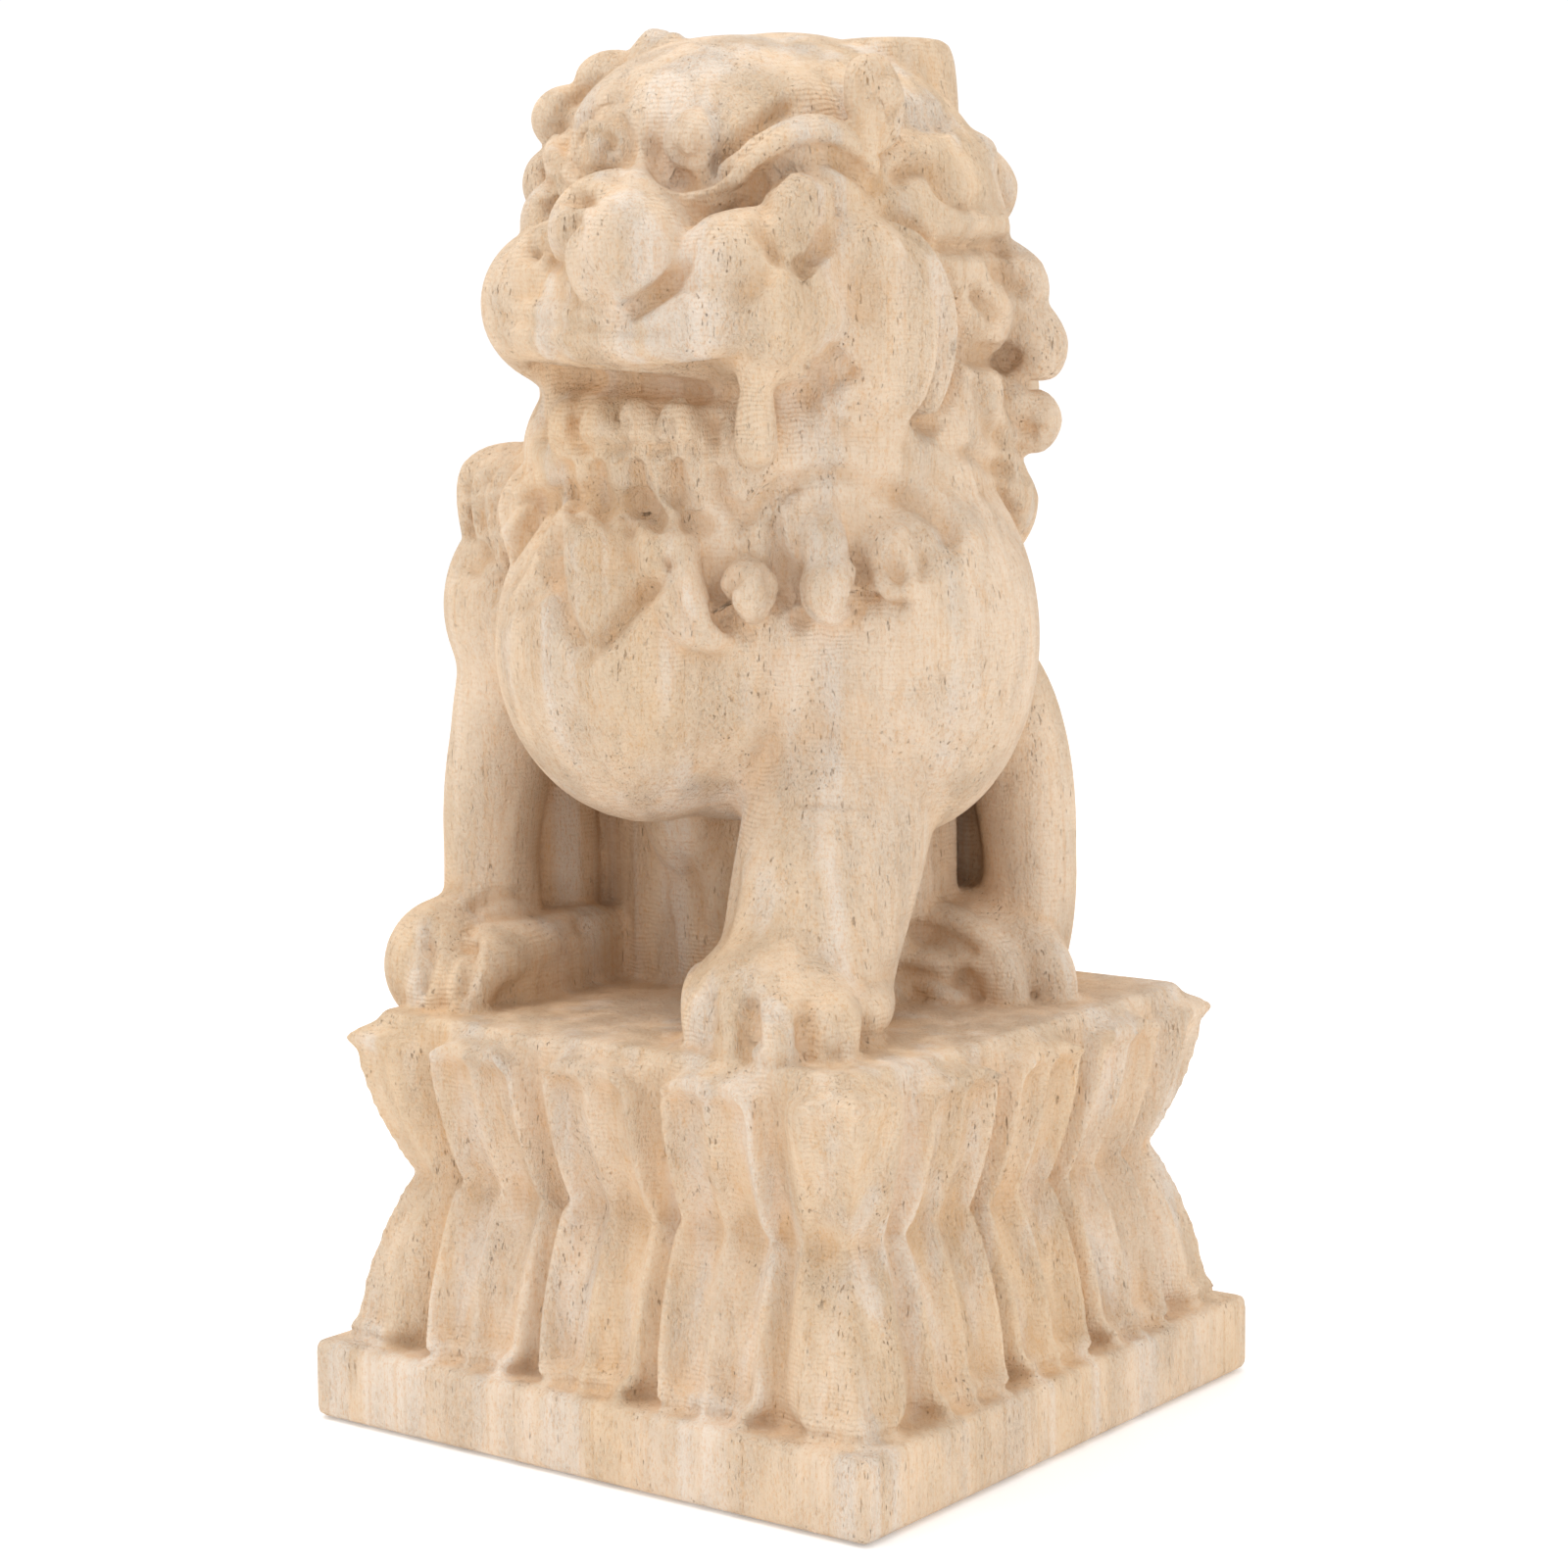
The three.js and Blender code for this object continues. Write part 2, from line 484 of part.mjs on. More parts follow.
// Edges finer than the carving are closed up: both ends move to the middle where no
// face would turn over and the surface stays one closed skin
function withoutSlivers({ vertProperties, triVerts }, finest) {
  const points = [];
  for (let i = 0; i < vertProperties.length; i += 3) {
    points.push(new THREE.Vector3().fromArray(vertProperties, i));
  }
  const faces = [];
  const facesAt = points.map(() => new Set());
  for (let i = 0; i < triVerts.length; i += 3) {
    const face = Array.from(triVerts.subarray(i, i + 3));
    face.forEach((corner) => facesAt[corner].add(faces.length));
    faces.push(face);
  }
  const neighbours = (a) => {
    const found = new Set();
    facesAt[a].forEach((f) => faces[f].forEach((corner) => found.add(corner)));
    found.delete(a);
    return found;
  };
  const normal = (corners) => new THREE.Triangle(...corners).getNormal(new THREE.Vector3());
  const keepsFacing = (a, b, middle) => [...facesAt[a]].every((f) => {
    if (faces[f].includes(b)) return true;
    const before = normal(faces[f].map((corner) => points[corner]));
    const after = normal(faces[f].map((corner) => (corner === a ? middle : points[corner])));
    return before.lengthSq() < 0.5 || (after.lengthSq() > 0.5 && before.dot(after) > 0.35);
  });
  const close = (a, b) => {
    const aroundB = neighbours(b);
    const shared = [...neighbours(a)].filter((corner) => aroundB.has(corner));
    const middle = points[a].clone().lerp(points[b], 0.5);
    if (shared.length !== 2 || !keepsFacing(a, b, middle) || !keepsFacing(b, a, middle)) return false;
    points[a].copy(middle);
    facesAt[b].forEach((f) => {
      if (faces[f].includes(a)) {
        faces[f].forEach((corner) => facesAt[corner].delete(f));
        faces[f] = null;
      } else {
        faces[f] = faces[f].map((corner) => (corner === b ? a : corner));
        facesAt[a].add(f);
      }
    });
    facesAt[b].clear();
    return true;
  };
  for (const limit of [finest / 9, finest / 3, finest]) {
    let closed = 1;
    while (closed > 0) {
      closed = 0;
      const edges = faces.flatMap((face) => (face ? [0, 1, 2].map((i) => [face[i], face[(i + 1) % 3]]) : []));
      const short = edges.map(([a, b]) => [a, b, points[a].distanceTo(points[b])])
        .filter(([a, b, length]) => a < b && length < limit)
        .sort((first, second) => first[2] - second[2]);
      for (const [a, b] of short) {
        if (facesAt[a].size > 0 && facesAt[b].size > 0 && points[a].distanceTo(points[b]) < limit) {
          closed += neighbours(a).has(b) && close(a, b) ? 1 : 0;
        }
      }
    }
  }
  return { points, faces: faces.filter((face) => face) };
}

function meshOf(solid, name, colour) {
  const { points, faces } = withoutSlivers(solid.getMesh(), FINEST_EDGE);
  const geometry = new THREE.BufferGeometry().setFromPoints(points);
  geometry.setIndex(faces.flat());
  geometry.computeVertexNormals();
  const material = new THREE.MeshStandardMaterial({ color: colour, roughness: 0.85, metalness: 0 });
  const mesh = new THREE.Mesh(geometry, material);
  mesh.name = name;
  return mesh;
}

const group = new THREE.Group();
group.add(meshOf(statue(), 'guardian_lion', WOOD_COLOUR));

export default group;
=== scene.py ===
"""Guardian lion statue, carved from one block of pale raw wood.

The lion is built up like a clay model: rounded lumps and bars are added by kind, fused
into one skin, softened, and then cut with gouge strokes before the wood is laid on.
"""

import math

import bpy
import numpy as np
from mathutils import Euler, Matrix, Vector


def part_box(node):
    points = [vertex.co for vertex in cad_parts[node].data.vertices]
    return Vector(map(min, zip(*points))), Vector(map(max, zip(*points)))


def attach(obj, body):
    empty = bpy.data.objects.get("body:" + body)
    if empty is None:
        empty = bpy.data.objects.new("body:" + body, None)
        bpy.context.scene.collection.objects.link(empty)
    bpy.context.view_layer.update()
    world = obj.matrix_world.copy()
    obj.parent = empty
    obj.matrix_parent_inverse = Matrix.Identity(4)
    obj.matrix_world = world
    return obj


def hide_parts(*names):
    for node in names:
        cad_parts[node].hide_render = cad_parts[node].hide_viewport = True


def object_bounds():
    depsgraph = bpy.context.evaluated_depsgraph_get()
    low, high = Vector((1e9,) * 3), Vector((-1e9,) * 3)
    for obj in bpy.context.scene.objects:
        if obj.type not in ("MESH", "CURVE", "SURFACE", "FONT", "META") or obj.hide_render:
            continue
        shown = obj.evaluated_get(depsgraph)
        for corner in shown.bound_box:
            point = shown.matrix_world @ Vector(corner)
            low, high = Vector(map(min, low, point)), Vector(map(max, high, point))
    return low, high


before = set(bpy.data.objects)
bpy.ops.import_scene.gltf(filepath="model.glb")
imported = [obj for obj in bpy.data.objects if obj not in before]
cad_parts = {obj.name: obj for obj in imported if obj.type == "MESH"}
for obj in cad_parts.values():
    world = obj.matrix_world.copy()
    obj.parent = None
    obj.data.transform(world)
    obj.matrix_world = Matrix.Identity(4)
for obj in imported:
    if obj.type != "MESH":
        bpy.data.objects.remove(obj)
CAD_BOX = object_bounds()

bl_info = {
    "name": "Carved guardian lion",
    "version": (1, 0, 0),
    "blender": (4, 5, 0),
    "location": "View3D > Sidebar > Lion",
    "description": "Builds a carved wooden guardian lion on its lotus plinth",
    "category": "Object",
}

NODE = "guardian_lion"
PIECE = "carved_lion"
MM = 0.001

box_low, box_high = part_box(NODE)
SLAB_WIDTH = box_high[0] - box_low[0]


class StatueSizes(bpy.types.PropertyGroup):
    """Real sizes of the statue."""

    slab_width: bpy.props.FloatProperty(
        name="Slab width", description="Side of the square slab", default=SLAB_WIDTH, unit="LENGTH"
    )
    slab_height: bpy.props.FloatProperty(
        name="Slab height", description="Thickness of the slab", default=9.25 * MM, unit="LENGTH"
    )
    slab_edge: bpy.props.FloatProperty(
        name="Slab edge", description="Radius of the slab's worn edges", default=1.0 * MM, unit="LENGTH"
    )
    waist_level: bpy.props.FloatProperty(
        name="Waist level", description="Height of the lotus waist", default=28.75 * MM, unit="LENGTH"
    )
    lotus_top: bpy.props.FloatProperty(
        name="Lotus top", description="Height of the floor under the lion", default=48.1 * MM, unit="LENGTH"
    )
    lotus_top_width: bpy.props.FloatProperty(
        name="Lotus top width", description="Side of the lotus top", default=71.4 * MM, unit="LENGTH"
    )
    lotus_foot_width: bpy.props.FloatProperty(
        name="Lotus foot width", description="Side of the lotus foot", default=72.0 * MM, unit="LENGTH"
    )
    waist_width: bpy.props.FloatProperty(
        name="Waist width", description="Side of the lotus waist", default=61.0 * MM, unit="LENGTH"
    )
    body_turn: bpy.props.FloatProperty(
        name="Body turn", description="How far the chest is turned from the head's side",
        default=math.radians(36.87), subtype="ANGLE",
    )
    soft_step: bpy.props.FloatProperty(
        name="Soft step", description="Grain of the first fused skin", default=0.95 * MM, unit="LENGTH"
    )
    fine_step: bpy.props.FloatProperty(
        name="Fine step", description="Grain of the finished skin", default=0.5 * MM, unit="LENGTH"
    )
    most_triangles: bpy.props.IntProperty(
        name="Most triangles", description="Triangles in the finished skin", default=195000
    )


class WoodLook(bpy.types.PropertyGroup):
    """Colours and grain of the raw wood, and the orange used for painted shade."""

    pale: bpy.props.StringProperty(name="Pale wood", description="Most of the surface", default="#EDD7BF")
    bleached: bpy.props.StringProperty(name="Bleached", description="Whitish bands", default="#F0E4D7")
    warm: bpy.props.StringProperty(name="Warm wood", description="Yellowish patches", default="#EBD0B0")
    # Painted shade: this orange darkens the hollows and the shadowed sides of the fibres. It also tints the
    # grain lines.
    painted_hollow_shade: bpy.props.StringProperty(name="Hollow", description="Orange tone in hollows", default="#DDA86C")
    pore: bpy.props.StringProperty(name="Pore", description="Short dark pores", default="#946A43")
    pore_length: bpy.props.FloatProperty(
        name="Pore length", description="Length of a pore along the grain", default=1.6 * MM, unit="LENGTH"
    )
    streak_width: bpy.props.FloatProperty(
        name="Streak width", description="Width of a band of the grain", default=6.0 * MM, unit="LENGTH"
    )
    tool_step: bpy.props.FloatProperty(
        name="Tool step", description="Distance between passes of the carving tool", default=0.55 * MM,
        unit="LENGTH",
    )


def sizes():
    return bpy.context.scene.statue_sizes


def look():
    return bpy.context.scene.wood_look


# Places on the lion, in millimetres sideways, forward and up from the lotus floor


class Place:
    """A way of giving places: square to the slab for the head, turned for the body."""

    def __init__(self, turn):
        self.turn = turn

    def __call__(self, side, front, up):
        x = side * math.cos(self.turn) + front * math.sin(self.turn)
        y = side * math.sin(self.turn) - front * math.cos(self.turn)
        return Vector((x * MM, y * MM, sizes().lotus_top + up * MM))


def on_body():
    return Place(sizes().body_turn)


def on_head():
    return Place(0.0)


def clear_selection():
    if bpy.context.mode != "OBJECT":
        bpy.ops.object.mode_set(mode="OBJECT")
    bpy.ops.object.select_all(action="DESELECT")


def points_of(piece):
    flat = np.empty(len(piece.data.vertices) * 3)
    piece.data.vertices.foreach_get("co", flat)
    return flat.reshape(-1, 3)


def set_points(piece, points):
    piece.data.vertices.foreach_set("co", points.ravel())
    piece.data.update()


def normals_of(piece):
    flat = np.empty(len(piece.data.vertices) * 3)
    piece.data.vertices.foreach_get("normal", flat)
    return flat.reshape(-1, 3)


def mass(place, at, radii):
    """A rounded lump with three radii in millimetres, turned with the body or the head."""
    clear_selection()
    bpy.ops.mesh.primitive_ico_sphere_add(
        subdivisions=4,
        radius=MM,
        location=place(*at),
        rotation=Euler((0.0, 0.0, place.turn)),
        scale=radii,
    )
    bpy.ops.object.transform_apply(location=True, rotation=True, scale=True)
    return bpy.context.object


def along_spline(controls, shares):
    """Places on a smooth curve through the controls, for shares from 0 to 1."""
    padded = np.vstack([2 * controls[0] - controls[1], controls, 2 * controls[-1] - controls[-2]])
    spans = len(controls) - 1
    position = np.clip(shares, 0, 1) * spans
    span = np.minimum(position.astype(int), spans - 1)
    t = (position - span)[:, None]
    a, b, c, d = (padded[span + i] for i in range(4))
    return 0.5 * (2 * b + (c - a) * t + (2 * a - 5 * b + 4 * c - d) * t**2 + (3 * b - a - 3 * c + d) * t**3)


def unit(vectors):
    return vectors / np.maximum(np.linalg.norm(vectors, axis=1, keepdims=True), 1e-12)


def strand(place, points, widths, flatness=1.0, blunt=0.45):
    """A limb, toe, lip or lock: a rounded bar along a curve, its half-width given at each point."""
    clear_selection()
    bpy.ops.mesh.primitive_uv_sphere_add(segments=20, ring_count=28, radius=1.0)
    bar = bpy.context.object
    ball = points_of(bar)
    controls = np.array([place(*point) for point in points])
    share = (1 - ball[:, 2]) / 2
    middle = along_spline(controls, share)
    reach = 1e-3
    along = unit(along_spline(controls, share + reach) - along_spline(controls, share - reach))
    outward = unit(middle * [1, 1, 0])
    outward = unit(outward - along * np.sum(outward * along, axis=1, keepdims=True))
    across = np.cross(outward, along)
    ring = np.maximum(np.hypot(ball[:, 0], ball[:, 1]), 1e-9)
    fullness = ring**blunt / ring
    width = np.interp(share, np.linspace(0, 1, len(widths)), widths) * MM
    offset_across = across * (ball[:, 0] * fullness * width)[:, None]
    offset_out = outward * (ball[:, 1] * fullness * width * flatness)[:, None]
    set_points(bar, middle + offset_across - offset_out)
    return bar


def joined(pieces, name):
    """One object holding all the given ones."""
    clear_selection()
    for piece in pieces:
        piece.select_set(True)
    bpy.context.view_layer.objects.active = pieces[0]
    bpy.ops.object.join()
    whole = bpy.context.object
    whole.name = name
    return whole


def apply_modifier(piece, kind, name, **settings):
    clear_selection()
    piece.select_set(True)
    bpy.context.view_layer.objects.active = piece
    modifier = piece.modifiers.new(name, kind)
    for key, value in settings.items():
        setattr(modifier, key, value)
    bpy.ops.object.modifier_apply(modifier=name)


def fused(piece, step):
    apply_modifier(piece, "REMESH", "Fuse", mode="VOXEL", voxel_size=step, adaptivity=0.0)


def softened(piece, times, factor=0.5):
    apply_modifier(piece, "SMOOTH", "Soften", iterations=times, factor=factor)


def facing_out(piece):
    clear_selection()
    piece.select_set(True)
    bpy.context.view_layer.objects.active = piece
    bpy.ops.object.mode_set(mode="EDIT")
    bpy.ops.mesh.select_all(action="SELECT")
    bpy.ops.mesh.remove_doubles(threshold=1e-6)
    bpy.ops.mesh.normals_make_consistent(inside=False)
    bpy.ops.object.mode_set(mode="OBJECT")


# Plinth

LOTUS_CORNER = 2.5 * MM
CORE_RELIEF = 1.6 * MM
PETAL_RELIEF = 2.0 * MM
PETAL_DEPTH = 5.0 * MM
PETAL_EDGE_DROP = 2.6 * MM
PETAL_TIP_RIM = 1.4 * MM
PETAL_SWELL = 1.9
CORNER_PETAL_REACH = 10.2 * MM
WAIST_BAND = 0.8 * MM
UPPER_GAP = 2.6 * MM
LOWER_GAP = 0.6 * MM


def slab_clay():
    size = sizes()
    clear_selection()
    bpy.ops.mesh.primitive_cube_add(size=1.0, location=(0, 0, size.slab_height / 2))
    slab = bpy.context.object
    slab.scale = (size.slab_width, size.slab_width, size.slab_height)
    bpy.ops.object.transform_apply(location=True, rotation=True, scale=True)
    apply_modifier(slab, "BEVEL", "Worn edge", width=size.slab_edge, segments=3)
    return slab


def square_ring(half, radius, steps=6):
    """A square with round corners, as rows of x and y."""
    quarter = math.pi / 2
    angles = np.concatenate([np.linspace(i, i + 1, steps) for i in range(4)]) * quarter
    towards_corner = np.floor(angles / quarter + 1e-9).clip(0, 3) * quarter + 0.7
    corner = half - radius
    centre_x = corner * np.sign(np.cos(towards_corner))
    centre_y = corner * np.sign(np.sin(towards_corner))
    return np.stack([centre_x + radius * np.cos(angles), centre_y + radius * np.sin(angles)], axis=1)


def grid_body(name, rows):
    """A closed body from rows of points, each row a ring of the same count."""
    count = len(rows[0])
    points = [tuple(point) for row in rows for point in row]
    faces = []
    for level in range(len(rows) - 1):
        for i in range(count):
            j = (i + 1) % count
            low = level * count
            faces.append((low + i, low + j, low + count + j, low + count + i))
    faces.append(tuple(reversed(range(count))))
    top = (len(rows) - 1) * count
    faces.append(tuple(range(top, top + count)))
    mesh = bpy.data.meshes.new(name)
    mesh.from_pydata(points, [], faces)
    piece = bpy.data.objects.new(name, mesh)
    bpy.context.scene.collection.objects.link(piece)
    facing_out(piece)
    return piece


def lotus_core():
    """The plain body of the plinth behind the petals."""
    size = sizes()
    lower = size.waist_level - size.slab_height
    upper = size.lotus_top - size.waist_level
    half_waist = size.waist_width / 2
    half_foot = size.lotus_foot_width / 2 - 0.5 * CORE_RELIEF
    half_top = size.lotus_top_width / 2 - 0.6 * CORE_RELIEF
    steps = np.linspace(0, 1, 12)
    levels = [(size.slab_height / 2, half_foot)]
    for share in steps[:0:-1]:
        half = half_waist + (half_foot - half_waist) * swell(share)
        levels.append((size.waist_level - lower * share, half))
    for share in steps:
        half = half_waist + (half_top - half_waist) * swell(share)
        levels.append((size.waist_level + upper * share, half))
    levels[-1:] = [(size.lotus_top - 1.2 * MM, half_top), (size.lotus_top, half_top - 0.5 * MM)]
    rows = []
    for height, half in levels:
        ring = square_ring(half, LOTUS_CORNER)
        rows.append(np.column_stack([ring, np.full(len(ring), height)]))
    return grid_body("lotus core", rows)


def swell(share):
    """How far a petal has swung out at a share of its way from the waist to its tip."""
    return 1 - (1 - share) ** PETAL_SWELL


def petal(waist, tip, half_width, foot, centre, turn, bend):
    """A curved plate from the waist to its round tip, with raised rims and a ridge between flutes."""
    columns = np.linspace(-1, 1, 33)
    rows = np.linspace(0, 1, 40) ** 0.85
    rim = np.exp(-(((np.abs(columns) - 0.82) / 0.13) ** 2))
    ridge = 0.8 * np.exp(-((columns / 0.12) ** 2))
    relief = (rim + ridge) * PETAL_RELIEF
    edge_drop = PETAL_EDGE_DROP * np.clip((np.abs(columns) - 0.9) / 0.1, 0, 1) ** 2
    faces_of = []
    for depth in (0.0, -PETAL_DEPTH):
        for share in rows:
            out = waist[1] + (tip[1] - waist[1]) * swell(share)
            height = waist[0] + (tip[0] - waist[0]) * share
            tip_round = math.sqrt(1 - (max(0.0, share - 0.72) / 0.285) ** 3)
            half = half_width * (foot + (1 - foot) * share) * tip_round
            tip_rim = PETAL_TIP_RIM * math.exp(-(((share - 0.91) / 0.05) ** 2))
            face = relief * min(1.0, 1.25 * tip_round) + tip_rim - edge_drop if depth == 0.0 else depth
            across = centre * (0.95 + 0.05 * share) + columns * half
            bowed = bend * (foot + (1 - foot) * share) * columns**2
            x = across
            y = -(out + face - bowed)
            faces_of.append(np.column_stack([
                x * math.cos(turn) - y * math.sin(turn),
                x * math.sin(turn) + y * math.cos(turn),
                np.full(len(columns), height),
            ]))
    count = len(rows)
    rings = []
    for r in range(count):
        rings.append(np.vstack([faces_of[r], faces_of[count + r][::-1]]))
    return grid_body("petal", rings)


def lotus_petals():
    size = sizes()
    reach = CORNER_PETAL_REACH
    tiers = [
        (size.lotus_top - 1.5 * MM, size.lotus_top_width / 2, UPPER_GAP),
        (size.slab_height - 0.4 * MM, size.lotus_foot_width / 2, LOWER_GAP),
    ]
    found = []
    for height, half, gap in tiers:
        level = size.waist_level + math.copysign(0.4 * MM, height - size.waist_level)
        waist = (level, size.waist_width / 2 + WAIST_BAND)
        pitch = (2 * half - 2 * reach) / 3
        round_off = LOTUS_CORNER * (math.sqrt(2) - 1)
        for side in range(4):
            turn = side * math.pi / 2
            for i in (-1, 0, 1):
                found.append(petal(waist, (height, half), (pitch - gap) / 2, 0.96, i * pitch, turn, 0.0))
            found.append(petal(
                (level, waist[1] * math.sqrt(2) - round_off),
                (height, half * math.sqrt(2) - round_off),
                reach * math.sqrt(0.5),
                0.72,
                0.0,
                turn + math.pi / 4,
                reach * math.sqrt(0.5) * 0.85,
            ))
    return found


# Lion

# Corners of the core that the carver left standing under the belly, sideways and forward
CORE_CORNERS = (
    (-22, 1), (-8, 1.4), (14, 0), (14, -15.5), (-16, -24), (-28, -13), (-32, -7), (-31, -3.2),
)

# Corners of the long hind foot that shows its side, sideways and forward
FOOT_CORNERS = ((-38.6, 6), (-38.6, 21), (-34, 26.4), (-24.4, 26), (-22.8, 20), (-24.6, -3), (-36, -4))


def post(corners, low, high, rounding=0.0):
    """An upright block square to the slab, its top edge rounded off by a height in millimetres."""
    place = on_head()
    middle = [sum(corner[k] for corner in corners) / len(corners) for k in (0, 1)]
    levels = [(low, 0.0), (high, 0.0)]
    if rounding:
        levels = [(low, 0.0), (high - rounding, 0.0), (high - 0.3 * rounding, 0.12), (high, 0.36)]
    rows = []
    for up, inset in levels:
        rows.append([
            place(side + (middle[0] - side) * inset, front + (middle[1] - front) * inset, up)
            for side, front in corners
        ])
    return grid_body("post", rows)


def trunk_clay():
    """Chest, belly, back and the haunches behind the core."""
    body = on_body()
    return [
        mass(body, (-3, 2, 45), (29, 24, 23.8)),
        mass(body, (-15, 7, 42.4), (18, 19.5, 20.6)),
        mass(on_head(), (-14, -1.5, 24), (7.5, 7, 12)),
        mass(on_head(), (-18, -6, 31), (7, 8, 10)),
        mass(body, (13, 8, 43), (16.5, 19.5, 23)),
        mass(body, (0, -14, 41), (28, 19.5, 24)),
        mass(body, (-2, 0, 64), (28, 27, 17)),
        mass(body, (-1, 13, 56), (20.5, 13, 10.5)),
        mass(body, (-27.5, -9, 46), (13, 13, 14)),
        mass(body, (-29, -7, 57), (6, 8, 7)),
        mass(body, (23, -3, 58), (6, 8, 7)),
        mass(body, (-19, -29, 14), (13, 8.5, 24)),
        mass(body, (-28.5, -19, 14), (5.5, 6, 26)),
        mass(body, (26, -14.5, 14), (6, 6.5, 26)),
        mass(body, (18, -23, 14), (13, 11, 24)),
    ]


def limb_clay():
    body = on_body()
    head = on_head()
    return [
        strand(body, [(-29, -9, 44), (-33.6, -9, 30), (-35.4, -9, 16), (-34.4, -9, 1)], [12, 8, 7, 8.4],
               flatness=0.8, blunt=0.3),
        mass(head, (-34, 22, 4), (6.5, 8.5, 8)),
        strand(body, [(9, 5, 48), (6.6, 15, 26), (3, 21.5, 10), (0.6, 25, -3)], [13, 11, 10.2, 11],
               blunt=0.3),
        mass(body, (6.4, 12.4, 31), (13.5, 10, 12)),
        strand(body, [(22, -8, 40), (27.2, -6.5, 30), (29.2, -5, 16), (28.4, -6, 1)], [10, 8, 7, 8],
               flatness=0.8, blunt=0.3),
        mass(head, (13, -17, 3.5), (14, 9.5, 8)),
        mass(body, (-0.8, 26, 3), (10.8, 13.2, 9)),
    ]


def toe(place, side, front, back, rise, width):
    """A toe that runs forward and ends in a blunt round tip on the floor."""
    return strand(
        place,
        [(side, back, rise + 1), (side, (back + front) / 2, rise + 0.5),
         (side, front - width * 0.8, rise * 0.85), (side, front, -0.5)],
        [width, width, width, width],
        blunt=0.3,
    )


def paw_clay():
    """Toes, the long hind foot, and the core that was left uncut between the legs."""
    body = on_body()
    head = on_head()
    return [
        post(CORE_CORNERS, -3, 34),
        post(FOOT_CORNERS, -3, 9, 3.2),
        toe(head, -36.2, 26, 12, 4.6, 3.2),
        toe(head, -30.6, 29.4, 12, 4.8, 3.3),
        toe(head, -25.4, 28.4, 12, 4.6, 3.1),
        toe(body, -8.8, 31, 16, 4.2, 2.8),
        toe(body, -5.2, 37, 18, 4.2, 2.5),
        toe(body, -0.7, 40.4, 20, 4.4, 3.6),
        toe(body, 4.8, 38.8, 20, 4.2, 3.5),
        strand(body, [(8, 16, 6), (8.6, 26, 4), (8.2, 33.5, 3)], [3.6, 3.6, 3.2]),
        strand(head, [(2, -12, 9), (12, -11.4, 8.4), (21, -11, 5.4), (25.4, -11, -1)], [3, 3.2, 3.2, 3.2]),
        strand(head, [(2, -8, 4), (10, -7.8, 4), (16, -7.8, 2.8), (19.4, -8.4, -1)], [2.8, 3, 3, 2.8]),
        strand(head, [(8, -17, 10), (18, -17, 8.4), (25, -16.4, 4.8), (28.4, -16, -1)], [3, 3.4, 3.4, 3.4]),
    ]


def head_clay():
    """Skull, muzzle, jaw and jowls."""
    head = on_head()
    lumps = [
        mass(head, (-1, -2, 87), (27, 25, 25)),
        mass(head, (0, -4, 72), (25, 24, 15)),
        mass(head, (-3, 4, 98.4), (19, 20, 13)),
        mass(head, (5, 10.5, 101), (11, 8, 6.5)),
        mass(head, (7.6, 16.6, 97.6), (5.4, 5.6, 5.6)),
        mass(head, (-1, 15, 81), (21, 18, 11)),
        mass(head, (-15, 20, 81), (9, 11, 9.5)),
        mass(head, (14, 19, 80), (9, 10.5, 9)),
        mass(head, (-0.5, 24, 86), (8, 10, 10)),
        mass(head, (6.5, 21, 80.5), (13, 9, 6.4)),
        mass(head, (-1, 12, 66), (18.5, 17, 6)),
        mass(head, (0, 13, 62), (18, 11, 6)),
        mass(head, (14, 15, 92.5), (8, 6, 5.5)),
        mass(head, (-14, 15, 92.5), (8, 6, 5.5)),
    ]
    for way in (-1, 1):
        lumps.append(mass(head, (way * 19, 8, 76.5), (8.6, 9.5, 12)))
        lumps.append(strand(
            head,
            [(way * 18.4, 17, 87), (way * 23.2, 11, 85), (way * 24.6, 8, 78), (way * 23.6, 8.6, 70),
             (way * 20.4, 11, 64)],
            [4.4, 5, 5, 4.4, 3],
        ))
    return lumps


def face_clay():
    """Nose wings, lips, eyes, brows and their curls."""
    head = on_head()
    lumps = [
        mass(head, (2.8, 29.4, 85.6), (6.8, 8.6, 7.6)),
        mass(head, (-1, 26.6, 88.6), (8.2, 8.6, 6.8)),
        strand(head, [(17.5, 19.5, 87.6), (12.8, 26, 85), (8.2, 28.4, 81.8)], [4.6, 5.2, 3.6]),
        mass(head, (-11.2, 24.4, 84.5), (6.4, 7, 6)),
        strand(head, [(-21, 21, 80), (-12, 28, 78.6), (1, 31, 77.8), (11.4, 29.2, 78.2), (17, 24.6, 80)],
               [5, 4.3, 3.7, 4.1, 5.4]),
        mass(head, (17.4, 23, 79.8), (5.8, 6, 8)),
        strand(head, [(16.4, 24, 79), (15.6, 24.8, 71), (14.8, 24, 63)], [4.6, 1.8, 3.2]),
        mass(head, (20, 12.4, 73), (5.6, 6, 7)),
    ]
    for side in (-9.5, -4.2, 1.2, 6.4):
        lumps.append(mass(head, (side, 27.6 - abs(side + 1) * 0.14, 66.8), (2.6, 2.4, 3.8)))
    for way in (-1, 1):
        lumps.append(mass(head, (way * 17.3 + 0.5, 19.6, 90), (3.9, 4.4, 5)))
        lumps.append(strand(
            head,
            [(way * 3 - 1, 23, 92.8), (way * 9.4 - 0.6, 22.4, 92.6), (way * 14, 20, 96), (way * 18, 16, 98),
             (way * 21.6, 10.6, 94.6)],
            [2.0, 2.5, 2.9, 3.0, 2.4],
        ))
        lumps.append(mass(head, (way * 6.6 - 1.2, 21.8, 98), (3.6, 3.8, 3.7)))
    lumps.append(strand(head, [(20, 10.5, 107), (21.6, 11, 102), (21.4, 9.6, 97)], [3, 3.4, 2.4]))
    return lumps


